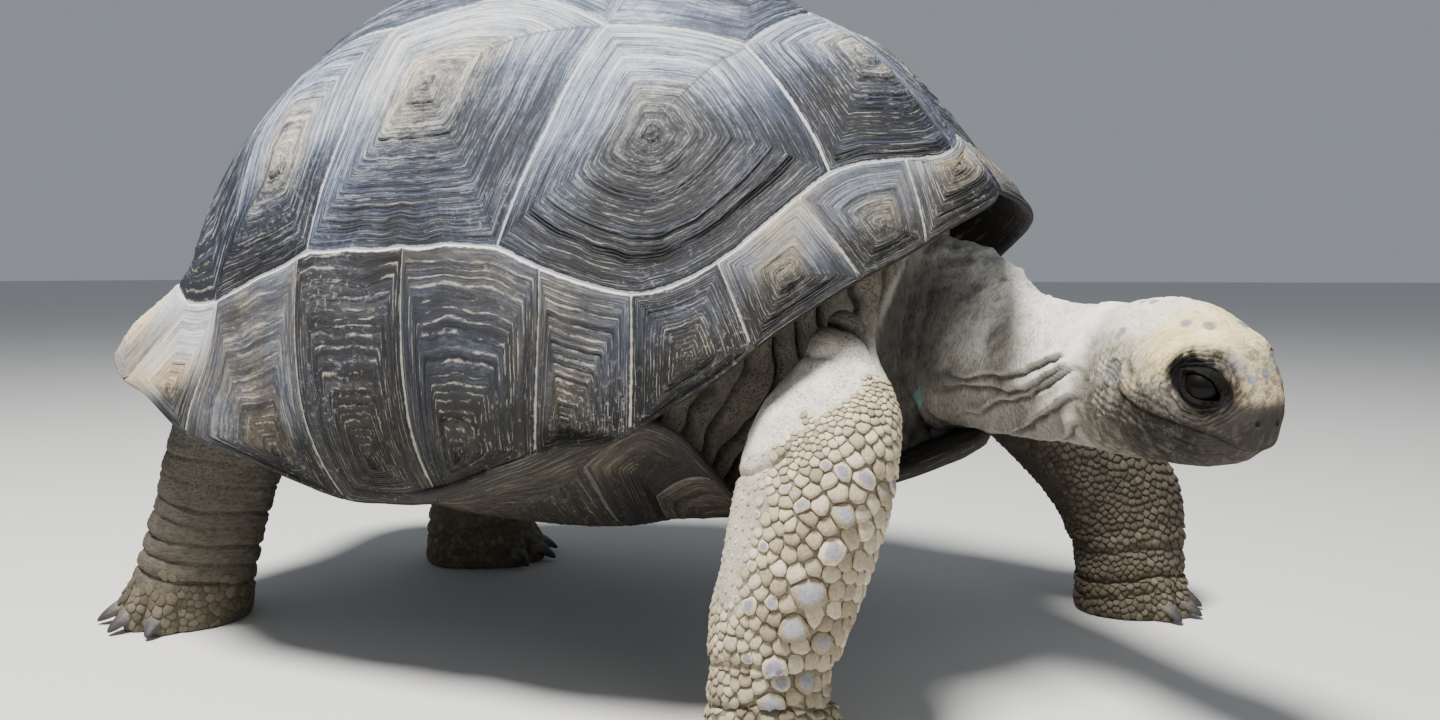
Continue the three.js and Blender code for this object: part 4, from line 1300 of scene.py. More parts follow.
def paint(body, info):
    """Colours of skin and coat by place, the same function for both."""
    local, head, neck, t, loose = (info[key] for key in ("local", "head", "neck", "neck_t", "loose"))
    big, small = fractal(body, 60, 91), fractal(body, 14, 95)
    colour = np.tile(PIGMENTS["hide"], (len(body), 1)) * (1 + .22 * big + .15 * small)[:, None]

    def lay(pigment, mask, amount):
        nonlocal colour
        weight = np.clip(mask * amount, 0, 1)[:, None]
        colour = colour * (1 - weight) \
            + np.array(PIGMENTS[pigment])[None] * weight * (1 + .14 * small)[:, None]

    scaled = np.clip(sum(info[name] * (limb_scale_sizes(name, body, info) > 0) for name in LIMBS), 0, 1)
    # the near foreleg's pale hide, painted paler still as if sunlit
    lay("pale foreleg and painted sunlight", info["fore_right"], .95)
    lay("its scales", info["fore_right"] * scaled, .9)
    lay("its knobs", info["fore_right"] * scaled * bare_part("fore_right", body, info), .9)
    # the far foreleg painted dark: painted shade under the head and shell
    lay("far foreleg in painted shade", info["fore_left"], .95)
    # the hind legs' darker grey-brown hide, darkened further as painted shade
    lay("hind legs", info["hind"], .95)
    lay("tail", info["tail"], .9)
    round_neck = info["neck_round"]
    from_top = np.abs(round_neck - 95)
    lay("neck", neck, .95)
    # the neck paler on top: painted light from above
    lay("neck's sunlit top", neck * fade(from_top, 50, 115), .88)
    # painted shadow of the shell's front edge on the neck's root, less on its top
    lay("painted shadow at the neck's root", neck * fade(t + .04 * big, .27, .58) * (1 - .5 * bump(from_top, 0, 60)), .93)
    # the throat darker: painted shade under the neck
    lay("neck's shaded throat", neck * fade(np.abs(round_neck - 262), 25, 70) * smoothstep(t, .1, .4), .7)
    lay("neck's lump", neck * bump(np.hypot((t - .64) * NECK_LENGTH, (round_neck - 152) * 1.3), 0, 50), .7)
    lay("head", head, 1.0)
    masks = head_masks(local)
    f, a, u = local[:, 0], np.abs(local[:, 1]), local[:, 2]
    streaks = fractal(local * [1.4, 1.4, .6], 5.5, 97, 4)
    low_face = head * smoothstep(-u + 9 * streaks, -2, 30)
    # the head paler on top and darker towards the jaws: partly its own colour, partly painted light from
    # above and shade beneath
    lay("head's top", head * smoothstep(u, 8, 40), .9)
    lay("lower face", low_face, .9)
    lay("jaws", low_face * smoothstep(f + 12 * streaks, 26, 74), .95)
    lay("jaw streaks", head * smoothstep(-u, 12, 40) * smoothstep(streaks, .12, .5), .4)
    lay("brow", head * masks["brow"], .8)
    lay("temple", head * bump(np.hypot((f - 92) * .9, u - 22), 0, 36) * smoothstep(a, 10, 30), .9)
    lay("snout", head * smoothstep(f, 132, 146) * smoothstep(u, -22, -4), .85)
    lay("snout streaks", head * smoothstep(f, 128, 142) * smoothstep(u, -24, -6)
        * smoothstep(streaks, .05, .35), .6)
    lay("cheek", head * bump(np.hypot(f - 70, u + 8), 0, 17) * smoothstep(a, 20, 34), .7)
    lay("face streaks", head * smoothstep(streaks, .05, .4) * smoothstep(a, 8, 24)
        * smoothstep(-u, -34, 0), .55)
    far, _, owner = worley(local * [1, 1, 1.1], 15.0, 5)
    spotted = (owner > .62) * fade(far, .22, .46) * (1 - masks["socket"]) * smoothstep(u, -12, 8)
    lay("spots", head * spotted, .8)
    blue = bump(np.hypot(f - 146, (u - 22) * 1.2), 0, 20) * smoothstep(a, 8, 20)
    lay("before the brow", head * blue, .7)
    below = fade(np.hypot(f - 138, (u + 17) * 1.3), 12, 32) * smoothstep(a, 12, 30)
    lay("below the eye", head * below, .88)
    # dark skin round the eye; where it reaches up under the brow it is also painted shadow of the brow
    lay("socket", head * masks["socket"] * (.85 + .35 * streaks), .95)
    # the lids' margin and the opening's lining near black: partly dark skin, partly painted shade in the
    # opening
    lay("lids", head * masks["eye"], .99)
    lay("beak", head * masks["beak"], .95)
    lay("beak streaks", head * masks["beak"] * smoothstep(streaks, .05, .8), .5)
    lay("nose", head * smoothstep(f, 150, 164) * smoothstep(u, -36, -22) * fade(u, -14, -4), .8)
    lay("mouth", head * masks["in_mouth"] * bell(masks["mouth"], 1.6) * smoothstep(a, 6, 14), .85)
    lay("ear drum", head * masks["ear"], .85)
    # painted shade in the neck folds' grooves
    lay("painted shade in the neck's grooves", neck * neck_relief(info)[1], .75)
    # a small stain of turquoise paint low on the right of the neck
    stain = np.hypot((t - .25) * NECK_LENGTH, (round_neck - 224) * 1.35)
    lay("stain", neck * fade(stain + 9 * small, 3, 15), .5)
    lay("dust", fade(body[:, 2], 30, 190) * info["limbs"], .50)
    speckle = np.maximum(info["hind"] * smoothstep(body[:, 2], 110, 190), loose * .8)
    speckle = np.maximum(speckle, (info["fore_right"] + info["fore_left"]) * (1 - scaled) * .55)
    drape = drape_phase(body)
    groove = bell(1 - np.abs((drape % 1) - .5) * 2, .2)
    # painted shade in the grooves of the skin's hanging folds
    lay("painted shade in the drape's grooves", loose * groove, .8)
    lay("drape patches", loose * smoothstep(big, -.1, .5), .5)
    lap, turned_, folded = fine_wrinkles(body, info, drape)
    bare = np.maximum(bare_part("fore_right", body, info), bare_part("fore_left", body, info))
    # `under` marks the skin between the scales, where the look paints shade
    return {"paint": np.clip(colour, .004, .9), "speckle": speckle, "lap": lap, "turned": turned_,
            "folded": folded, "under": scaled * (1 - bare), "wet": head * masks["eye"],
            "smooth": head * np.maximum(masks["beak"], masks["ear"])}


# ---------------------------------------------------------------- unwrap of the skin's own shape
# each part's rectangle on the unwrap: left, bottom, breadth, height
ATLAS = {
    "trunk": (0.0, 0.0, 1.0, .22), "fore_right": (0.0, .23, .24, .30), "fore_left": (.25, .23, .24, .30),
    "hind_right": (.50, .23, .24, .28), "hind_left": (.75, .23, .24, .28), "neck": (0.0, .54, .48, .28),
    "head": (.50, .54, .49, .45), "tail": (0.0, .84, .20, .14),
}
ATLAS_PAD = .06


def atlas_region(info):
    names = list(ATLAS)
    weights = [np.full(len(info["head"]), .5)] + [info[n] for n in names[1:]]
    return np.argmax(np.stack(weights), 0)


def atlas_place(body, info, region):
    """Turn (in rounds) and height (0..1) of each point in its own region."""
    x, y, z = body.T
    forward, out, up = info["local"].T
    about = lambda across, over: np.arctan2(across, over) / (2 * math.pi)
    places = {name: (info[name + "_turn"] / 360, z / 380) for name in LIMBS}
    places["trunk"] = about(y, x - SHELL_CENTRE_X), (z - 150) / 350
    places["neck"] = info["neck_turn"] / 360, info["neck_t"]
    places["head"] = about(up + 18, out), (forward + 25) / 200
    places["tail"] = about(y - 10, x + 480), (z - 160) / 180
    turn, height = np.array([places[name] for name in ATLAS])[region, :, np.arange(len(body))].T
    return turn, np.clip(height, 0, 1)


def atlas_uv(region, turn, height):
    rects = np.array(list(ATLAS.values()))[region]
    u = ATLAS_PAD + (1 - 2 * ATLAS_PAD) * (turn + .5)
    return np.stack([rects[..., 0] + rects[..., 2] * np.clip(u, 0, 1),
                     rects[..., 1] + rects[..., 3] * (.01 + .98 * height)], -1)


def atlas_layer(mesh, body, info):
    total, loops = polygons_of(mesh)
    region = atlas_region(info)
    starts = np.concatenate([[0], np.cumsum(total)[:-1]])
    first = np.repeat(loops[starts], total)
    own = region[first]
    turn, height = np.zeros(len(loops)), np.zeros(len(loops))
    for k in range(len(ATLAS)):
        here = own == k
        vertices = loops[here]
        t, h = atlas_place(body[vertices], {key: v[vertices] for key, v in info.items()},
                           np.full(here.sum(), k))
        turn[here], height[here] = t, h
    lead = np.repeat(turn[starts], total)
    turn = lead + (turn - lead + .5) % 1 - .5
    layer = mesh.uv_layers.new(name="OFBake")
    layer.data.foreach_set("uv", atlas_uv(own, turn, height).astype(np.float32).ravel())


# ---------------------------------------------------------------- coat: horny scales over the skin
class Surface:
    """The finished skin, to set scales on: nearest vertex, normal and place."""

    def __init__(self, points, normals, info):
        self.points, self.normals, self.info = points, normals, info
        self.tree = KDTree(len(points))
        for k, p in enumerate(points):
            self.tree.insert(p, k)
        self.tree.balance()

    def nearest(self, points):
        return np.array([self.tree.find(p)[1] for p in points])


SCALE_SPACING = .43            # how near two scales' middles may lie, as a share of their sizes together


def scatter(surface, choice, sizes, seed, fixed=()):
    """Vertices kept so that scales of their sizes just touch; `fixed` ones are set first."""
    rng = np.random.default_rng(seed)
    order = list(fixed) + list(rng.permutation(choice))
    cell = float(max(sizes[k] for k in order))
    grid, kept = {}, []

    def too_near(j, k):
        gap = surface.points[j] - surface.points[k]
        return gap @ gap < (SCALE_SPACING * (sizes[k] + sizes[j])) ** 2

    for k in order:
        x, y, z = (surface.points[k] // cell).astype(int)
        if any(too_near(j, k) for dx, dy, dz in AROUND for j in grid.get((x + dx, y + dy, z + dz), ())):
            continue
        grid.setdefault((x, y, z), []).append(k)
        kept.append(k)
    return np.array(kept)


SCALE_SIDES = 12
SCALE_SHAPE = ((1.0, -.35), (.97, .45), (.82, .86), (.45, 1.0))       # rows of a scale: share out, rise
SCALE_TILT, SCALE_GAP, SCALE_ROUNDNESS, SCALE_LONGER = .95, .985, .2, .20
KNOB_RADIUS = 2.1
UV_PATCH = .003


def scale_outlines(roots, size, cap, down, across):
    """How far each scale reaches in each direction before it meets its neighbours."""
    tree = KDTree(len(roots))
    for i, p in enumerate(roots):
        tree.insert(p, i)
    tree.balance()
    angle = circle(SCALE_SIDES)
    c, s = np.cos(angle), np.sin(angle)
    radius = np.zeros((len(roots), SCALE_SIDES))
    for i in range(len(roots)):
        limit = np.full(SCALE_SIDES, cap[i])
        for _, j, distance in tree.find_range(roots[i], size[i] * 1.3 + size.max() * .6):
            rel = roots[j] - roots[i]
            x, y = rel @ down[i], rel @ across[i]
            length = math.hypot(x, y)
            if j == i or distance < 1e-6 or length < 1e-6:
                continue
            share = length * size[i] / (size[i] + size[j])
            facing = (c * x + s * y) / length
            limit = np.minimum(limit, np.where(facing > .15, share / np.maximum(facing, .15), 1e9))
        radius[i] = limit * SCALE_GAP
    soft = .25 * np.roll(radius, 1, 1) + .5 * radius + .25 * np.roll(radius, -1, 1)
    return mix(radius, soft, SCALE_ROUNDNESS) * (1 + SCALE_LONGER * c)[None], c, s


def grow_scales(name, surface, kept, sizes, bare, tall):
    """Domed plates on the kept vertices that lie downwards, each filling its share up to its neighbours."""
    roots, normals, size = surface.points[kept], surface.normals[kept], sizes[kept]
    down = np.tile([0, 0, -1.0], (len(roots), 1)) + normals * 1e-3
    down = unit(down - normals * np.sum(down * normals, 1)[:, None])
    across = np.cross(normals, down)
    radius, c, s = scale_outlines(roots, size, mix(size * .86, KNOB_RADIUS, bare[kept]), down, across)
    sides, rows = SCALE_SIDES, len(SCALE_SHAPE)
    n = sides * rows + 1
    marks = paint_at(surface, kept)
    points, dome, lifts = np.zeros((len(kept), n, 3)), np.zeros((len(kept), n)), np.zeros((len(kept), n))
    uv = np.zeros((len(kept), n, 2))
    for level, (share, rise) in enumerate(SCALE_SHAPE):
        row = slice(level * sides, (level + 1) * sides)
        flat = down[:, None] * (radius * c)[..., None] * share \
            + across[:, None] * (radius * s)[..., None] * share
        points[:, row] = roots[:, None] + flat
        dome[:, row] = (1 - share) * 1.6
        lifts[:, row] = tall[:, None] * rise * (1 + SCALE_TILT * (share * c)[None]) \
            - (1.0 if level == 0 else 0.0)
        uv[:, row] = marks["uv"][:, None] + (np.stack([c, s], -1) * share * (UV_PATCH * .5))[None]
    points[:, -1], dome[:, -1], lifts[:, -1], uv[:, -1] = roots, 1, tall * 1.04, marks["uv"]
    # set down on the skin, which curves away under the larger scales
    flat_points = points.reshape(-1, 3)
    near = surface.nearest(flat_points)
    base, n_near = surface.points[near], surface.normals[near]
    down_to = flat_points - n_near * np.sum((flat_points - base) * n_near, 1)[:, None]
    placed = down_to + n_near * lifts.reshape(-1)[:, None]
    placed[:, 2] = np.maximum(placed[:, 2], .3)
    k = np.arange(sides)
    k1 = (k + 1) % sides
    band = np.stack([k, k1, sides + k1, sides + k], -1)
    quads = np.concatenate([band + level * sides for level in range(rows - 1)])
    caps = np.stack([(rows - 1) * sides + k, (rows - 1) * sides + k1, np.full(sides, n - 1)], -1)
    offsets = (np.arange(len(kept)) * n)[:, None, None]
    faces = [*(quads[None] + offsets).reshape(-1, 4).tolist(),
             *(caps[None] + offsets).reshape(-1, 3).tolist()]
    # only the sunlit near foreleg, the right, has the palest and bluest kinds of scale: partly painted light
    own = np.random.default_rng(len(kept)).random(len(kept)) * (1.0 if name == "fore_right" else .88)
    attributes = {"paint": np.repeat(marks["paint"], n, 0), "dome": dome.ravel(), "own": np.repeat(own, n),
                  "size": np.repeat(size, n) * MM}
    return build_mesh(f"scales_{name}", to_row(placed), faces, attributes, uv.reshape(-1, 2))


def paint_at(surface, kept):
    """The skin's colour at the scales' roots, and their place on its unwrap."""
    roots, info = surface.points[kept], {key: v[kept] for key, v in surface.info.items()}
    region = atlas_region(info)
    return {"paint": paint(roots, info)["paint"], "uv": atlas_uv(region, *atlas_place(roots, info, region))}


# the right foreleg's line of great tubercles: height and turn, size, in mm and degrees
GREAT_SCALES = ((262, -30, 17), (232, -39, 21), (204, -42, 23), (168, -50, 25), (136, -54, 26),
                (100, -60, 23), (66, -57, 25), (218, -20, 17), (246, -8, 18), (190, -18, 17),
                (120, -28, 19), (84, -30, 20), (150, -98, 15), (175, -110, 13), (112, -112, 14),
                (40, -40, 20), (30, -10, 20), (205, -88, 12))


def bare_part(name, body, info):
    """1 where the skin behind a foreleg shows between small scattered knobs, 0 where scales fill it."""
    if not name.startswith("fore"):
        return np.zeros(len(body))
    back = info[name + "_turn"] * (-1 if name == "fore_right" else 1)
    back = (back + 8 * fractal(body, 24, 111)) % 360
    return smoothstep(back, 92, 122) * fade(back, 205, 240) * smoothstep(body[:, 2], 112, 160)


# how high the forelegs' scales reach: turn round the leg, height
SCALES_REACH = np.array([(-180, 252), (-150, 256), (-110, 290), (-40, 334), (20, 334), (90, 300), (150, 262),
                         (180, 252)])


def limb_scale_sizes(name, body, info):
    """Breadth of the scales by place on a limb, 0 where it has none."""
    turn, z = info[name + "_turn"], body[:, 2]
    if name.startswith("fore"):
        sign, wide = (1, 62.0) if name == "fore_right" else (-1, 70.0)
        front = bell((turn + sign * 30 + 180) % 360 - 180, wide)
        size = 7.0 + 8.5 * front * (1 - .25 * smoothstep(z, 220, 310)) + 1.5 * fractal(body, 30, 101)
        size = mix(size, 7.5 + 3 * front, fade(z, 30, 80))
        edge = np.interp((sign * turn + 180) % 360 - 180, SCALES_REACH[:, 0], SCALES_REACH[:, 1])
        edge = edge + 16 * fractal(body, 40, 103)
        size = size * mix(.42, 1.0, smoothstep(edge - z, 0, 70))
        size = mix(size, 11.0 + 3 * fractal(body, 12, 113), bare_part(name, body, info))
        return np.where(z < edge, np.maximum(size, 4.8), 0)
    size = 8.0 + 3.5 * fractal(body, 40, 105) + 6.0 * fade(z, 20, 75) * bell(turn, 75)
    return np.where(z < 62 + 26 * fractal(body, 50, 107), np.maximum(size, 6.0), 0)


def great_scales(name, body, info, sizes):
    """The vertices of a foreleg's great tubercles, whose sizes are set."""
    sign, share = (1, 1) if name == "fore_right" else (-1, .9)
    fixed = []
    for z, turn, size in GREAT_SCALES:
        goal = np.hypot(body[:, 2] - z, ((info[name + "_turn"] - sign * turn + 180) % 360 - 180) * 1.1)
        k = int(np.where(info[name] > .6, goal, 1e9).argmin())
        sizes[k] = size * share
        fixed.append(k)
    return fixed


def make_coat(skin, info):
    """The horny scales of each limb as one joined mesh."""
    surface = Surface(vertices_of(skin.data) / MM - CENTRING, normals_of(skin.data), info)
    body = surface.points
    made = []
    for seed, name in enumerate(LIMBS, 200):
        sizes = limb_scale_sizes(name, body, info) * 1.0
        choice = np.flatnonzero((info[name] > .6) & (sizes > 0) & (body[:, 2] > 4))
        fore = name.startswith("fore")
        kept = scatter(surface, choice, sizes, seed, great_scales(name, body, info, sizes) if fore else [])
        bare, size = bare_part(name, body, info), sizes[kept]
        tall = (1.0 if fore else .4) * np.clip(.20 * size + .32 * np.maximum(size - 16, 0), .8, 6.5) \
            * (1 - .72 * bare[kept])
        made.append(grow_scales(name, surface, kept, sizes, bare, tall))
    return made


# ---------------------------------------------------------------- claws and eyes
CLAW_ROWS, CLAW_SIDES = 26, 28
CLAW_ROOT_HEIGHT, CLAW_BEDDED, CLAW_COVERED = 24.0, 16, 15        # the root lies within the foot's outline
CLAW_RADIUS, CLAW_TAPER, CLAW_DROOP = 15.5, .44, 22


def make_claws(name):
    """The claws of one foot as smooth bent cones on the solids' own lines."""
    _, turn, claws, fan, claw_length, x, y, long, wide = LIMBS[name]
    turn = math.radians(turn)
    pile = Pile()
    for k in range(claws):
        share = k / (claws - 1) - .5
        heading = turn + math.radians(fan) * share
        out = np.array([math.cos(heading), math.sin(heading), 0])
        side = np.array([-out[1], out[0], 0])
        local = heading - turn
        reach = 1 / math.hypot(math.cos(local) / long[0], math.sin(local) / wide[0])
        root = np.array([x[0], y[0], CLAW_ROOT_HEIGHT]) + out * (reach - CLAW_BEDDED)
        radius = CLAW_RADIUS - 3 * abs(share)
        t = np.linspace(0, 1, CLAW_ROWS) ** .8
        centre = root + out * ((CLAW_COVERED + claw_length) * t)[:, None]
        centre[:, 2] += 3 * t - CLAW_DROOP * t ** 1.5
        size = radius * (1 - CLAW_TAPER * t) * np.sqrt(np.clip(1 - t ** 4, 0.004, 1))
        angle = circle(CLAW_SIDES)
        ridge = 1 + .035 * np.sin(9 * angle + k) + .03 * np.sin(4 * angle + 2 * k)
        ring = centre[:, None] + side * (size[:, None] * np.cos(angle) * ridge)[..., None]
        ring[..., 2] += .78 * size[:, None] * np.sin(angle) * ridge
        ring[..., 2] = np.maximum(ring[..., 2], .4)
        points = ring.reshape(-1, 3)
        tip = np.repeat(t, CLAW_SIDES)
        uv = np.stack([np.tile(angle / 7, CLAW_ROWS) + k * 1.0, tip], -1)
        faces = ring_faces(CLAW_ROWS, CLAW_SIDES)
        pile.add(to_row(points), orient(points, faces, away_from(centre[8])), {"tip": tip}, uv)
    return pile.build(f"claws_{name}")


EYE_GAZE = (.46, .9, .03)
BALL_CLEARANCE, CORNEA_BULGE, CORNEA_SPREAD = .5, .7, .42         # mm, mm and radians round the gaze


def make_eye(side, tag):
    """A wet ball with a cornea's bulge, its iris and pupil as rings round the gaze."""
    rings, count = 40, 64
    polar = np.linspace(0, math.pi, rings)
    angle = circle(count)
    gaze = np.array(EYE_GAZE) * [1, side, 1]
    gaze /= np.linalg.norm(gaze)
    u = unit(np.cross(gaze, [0, 0, 1.0])[None])[0]
    v = np.cross(gaze, u)
    radius = BALL_RADIUS - BALL_CLEARANCE + CORNEA_BULGE * bell(polar, CORNEA_SPREAD)
    across = (u * np.cos(angle)[:, None] + v * np.sin(angle)[:, None])[None]
    points = gaze * (radius * np.cos(polar))[:, None, None] + across * (radius * np.sin(polar))[:, None, None]
    middle = np.array(BALL_MIDDLE) * [1, side, 1]
    body = head_to_body(points.reshape(-1, 3) + middle)
    faces = orient(body, ring_faces(rings, count), away_from(head_to_body(middle[None])[0]))
    lap, turn = np.repeat(polar, count), np.tile(angle, rings)
    uv = .5 + .48 * np.stack([lap * np.cos(turn), lap * np.sin(turn)], -1) / math.pi
    return build_mesh(f"eyeball_{tag}", to_row(body), faces, {"polar": lap}, uv)


# ---------------------------------------------------------------- materials
class Look:
    """A material's node tree with short ways to add nodes."""

    def __init__(self, name):
        self.material = bpy.data.materials.new(name)
        self.material.use_nodes = True
        self.tree = self.material.node_tree
        self.tree.nodes.clear()
        self.out = self.tree.nodes.new("ShaderNodeOutputMaterial")
        self.shader = self.tree.nodes.new("ShaderNodeBsdfPrincipled")
        self.tree.links.new(self.shader.outputs[0], self.out.inputs[0])

    def put(self, socket, value):
        if isinstance(value, bpy.types.NodeSocket):
            self.tree.links.new(value, socket)
        elif value is not None:
            socket.default_value = value

    def node(self, kind, inputs=None, out=0, **settings):
        made = self.tree.nodes.new("ShaderNode" + kind)
        for key, value in settings.items():
            setattr(made, key, value)
        for key, value in (inputs or {}).items():
            self.put(made.inputs[key], value)
        return made.outputs[out]

    def math(self, operation, *values):
        return self.node("Math", dict(enumerate(values)), operation=operation)

    def times(self, a, b):
        return self.math("MULTIPLY", a, b)

    def plus(self, a, b):
        return self.math("ADD", a, b)

    def minus(self, a, b):
        return self.math("SUBTRACT", a, b)

    def times_plus(self, a, b, c):
        return self.math("MULTIPLY_ADD", a, b, c)

    def attribute(self, name):
        return self.node("Attribute", out="Fac", attribute_name=name)

    def tint(self, name):
        return self.node("Attribute", out="Color", attribute_name=name)

    def place(self):
        return self.node("TexCoord", out="Object")

    def vector(self, x, y, z):
        return self.node("CombineXYZ", {0: x, 1: y, 2: z})

    def noise(self, vector, scale, detail=3.0, roughness=.55):
        return self.node("TexNoise", {"Vector": vector, "Scale": scale, "Detail": detail,
                                      "Roughness": roughness})

    def blend(self, factor, a, b, mode="MIX"):
        made = self.tree.nodes.new("ShaderNodeMix")
        made.data_type = "RGBA"
        made.blend_type = mode
        made.clamp_factor = True
        self.put(made.inputs[0], factor)
        for socket, value in ((made.inputs[6], a), (made.inputs[7], b)):
            self.put(socket, (*value, 1.0) if isinstance(value, tuple) and len(value) == 3 else value)
        return made.outputs[2]

    def tinted(self, factor, colour, tint):
        """The colour, multiplied by the tint where the factor says."""
        return self.blend(factor, colour, self.blend(1.0, colour, tint, "MULTIPLY"))

    def ramp(self, factor, stops):
        made = self.tree.nodes.new("ShaderNodeValToRGB")
        self.put(made.inputs[0], factor)
        elements = made.color_ramp.elements
        while len(elements) < len(stops):
            elements.new(0.5)
        for element, (position, colour) in zip(elements, stops):
            element.position = position
            element.color = (*colour, 1.0)
        return made.outputs[0]

    def range(self, value, low, high, to_low=0.0, to_high=1.0, smooth=False):
        return self.node("MapRange", {0: value, 1: low, 2: high, 3: to_low, 4: to_high},
                         interpolation_type="SMOOTHSTEP" if smooth else "LINEAR")

    def finish(self, colour, roughness, height, distance, strength=1.0, gloss=.3, extra=None):
        self.put(self.shader.inputs["Base Color"], colour)
        self.put(self.shader.inputs["Roughness"], roughness)
        self.put(self.shader.inputs["Specular IOR Level"], gloss)
        raised = self.node("Bump", {"Strength": strength, "Distance": distance, "Height": height})
        self.put(self.shader.inputs["Normal"], raised)
        for key, value in (extra or {}).items():
            self.put(self.shader.inputs[key], value)
        return self.material


# the horn's tones from the darkest rings to the palest, which stand for bleached horn and for painted
# sunlight
HORN_RAMP = [(.0, (.007, .008, .011)), (.20, (.017, .023, .040)), (.40, (.052, .070, .112)),
             (.58, (.150, .183, .250)), (.78, (.31, .36, .435)), (1.0, (.56, .59, .63))]
# LOW_SHADE_TINT darkens and browns the shell's low parts as painted shade
WARM_TINT, LOW_SHADE_TINT = (1.32, .98, .58), (.60, .50, .34)
RING_GROOVE, RING_CREST, HORN_DUST = (.010, .010, .011), (.45, .40, .305), (.42, .43, .44)
SEAM_WORN, SEAM_WHITE = (.42, .38, .29), (.66, .67, .68)


def shell_look(name, tan=0.0, seams=1.0, dark=0.0, earth=0.0):
    """Growth rings of horn: pale lilac and navy sectors that are partly painted light and shade,
    lines along the rings, cream crests, pale seams. `tan` greys the navy and darkens and browns the
    lower edge as painted shade; `seams` is how clear the seams are."""
    look = Look(name)
    phase, travel, scute, rho, edge, facing, pale, shade = (look.attribute(k) for k in (
        "phase", "travel", "scute", "rho", "edge", "facing", "pale", "shade"))
    place = look.place()
    up = look.node("SeparateXYZ", {0: place}, out=2)

    def ringed(across, round_, detail, roughness=.55):
        """Noise drawn out along the rings."""
        drawn_out = look.vector(look.times(phase, across), look.times(travel, round_), scute)
        return look.noise(drawn_out, 1.0, detail, roughness)

    wobble = look.noise(look.vector(look.times(travel, 26.0), scute, look.times(phase, .6)), 1.0, 4, .65)
    shifted = look.times_plus(wobble, 1.1, phase)
    line = [look.node("TexWhiteNoise",
                      {0: look.vector(look.math("FLOOR", look.times(shifted, f)), scute, 0.0)})
            for f in (1.0, 2.3, 5.2)]
    streak, fine, hair = ringed(.55, 9.0, 5, .62), ringed(3.0, 45.0, 5, .7), ringed(.22, 260.0, 2)
    blot, speck = look.noise(place, 6.5, 5, .62), look.noise(place, 190.0, 3, .7)
    inner = look.range(rho, .22, .60, 1, 0, smooth=True)
    # sectors facing SUNNY paler, the rest darker: partly the horn's own tone, partly painted light and shade
    tone = look.range(facing, .10, .86, .07, .66, smooth=True)
    tone = look.plus(look.times(tone, look.times_plus(inner, -.60, 1.0)), look.times(inner, .28))
    # paler high on the shell, darker low: partly wear, partly painted sunlight on top and shade below
    tone = look.plus(tone, look.range(up, .26, .78, -.14, .12))
    # each scute's tone from SHADES, partly painted light and shade
    tone = look.plus(tone, shade)
    for part, amount in ((line[0], .20), (line[1], .24), (line[2], .18), (streak, 1.05), (blot, .95),
                         (fine, .75), (hair, .22)):
        tone = look.times_plus(look.minus(part, .5), amount * (1 - .38 * tan), tone)
    colour = look.ramp(look.minus(tone, dark), HORN_RAMP)
    if tan:
        colour = look.blend(.48, colour, look.node("RGBToBW", {0: colour}))
    warm = look.range(look.noise(place, 8.5, 5, .65), .42, .62)
    warmth = look.times_plus(warm, .24 + .52 * tan, look.times_plus(inner, .70, .7 * earth))
    colour = look.tinted(look.math("MINIMUM", warmth, .95), colour, WARM_TINT)
    within = look.math("FRACT", shifted)
    groove = look.times(look.range(within, .0, .15, 1, 0, smooth=True), look.range(line[0], .2, .8, .25, .95))
    colour = look.blend(groove, colour, RING_GROOVE)
    crest = look.times(look.range(look.math("ABSOLUTE", look.minus(within, .30)), .0, .17, 1, 0),
                       look.range(look.plus(fine, streak), 1.00, 1.10))
    colour = look.blend(look.times(crest, .62 + .02 * tan - .4 * earth), colour, RING_CREST)
    # darker and browner low on the marginals, rim and plastron: painted shade beneath the shell
    colour = look.tinted(look.range(up, .20, .37, .85 if tan else 0, 0), colour, LOW_SHADE_TINT)
    ragged = look.minus(look.noise(place, 150.0, 4, .7), .5)
    ragged = look.times_plus(ragged, .0030, edge)
    width = look.times_plus(pale, .0007, .0003)
    seam = look.range(look.minus(ragged, width), .0, .0009, 1, 0)
    colour = look.blend(look.times(seam, .85 * seams), colour, look.blend(pale, SEAM_WORN, SEAM_WHITE))
    dust = look.times(look.range(speck, .56, .70), look.range(blot, .45, .6))
    colour = look.blend(look.times(dust, .4 - .3 * earth), colour, HORN_DUST)
    height = look.times_plus(fine, .9, look.times(speck, .35))
    height = look.times_plus(line[2], .28, height)
    height = look.times_plus(line[1], .22, height)
    return look.finish(colour, look.range(speck, .3, .7, .50, .72), height, .0015, .9, .36)


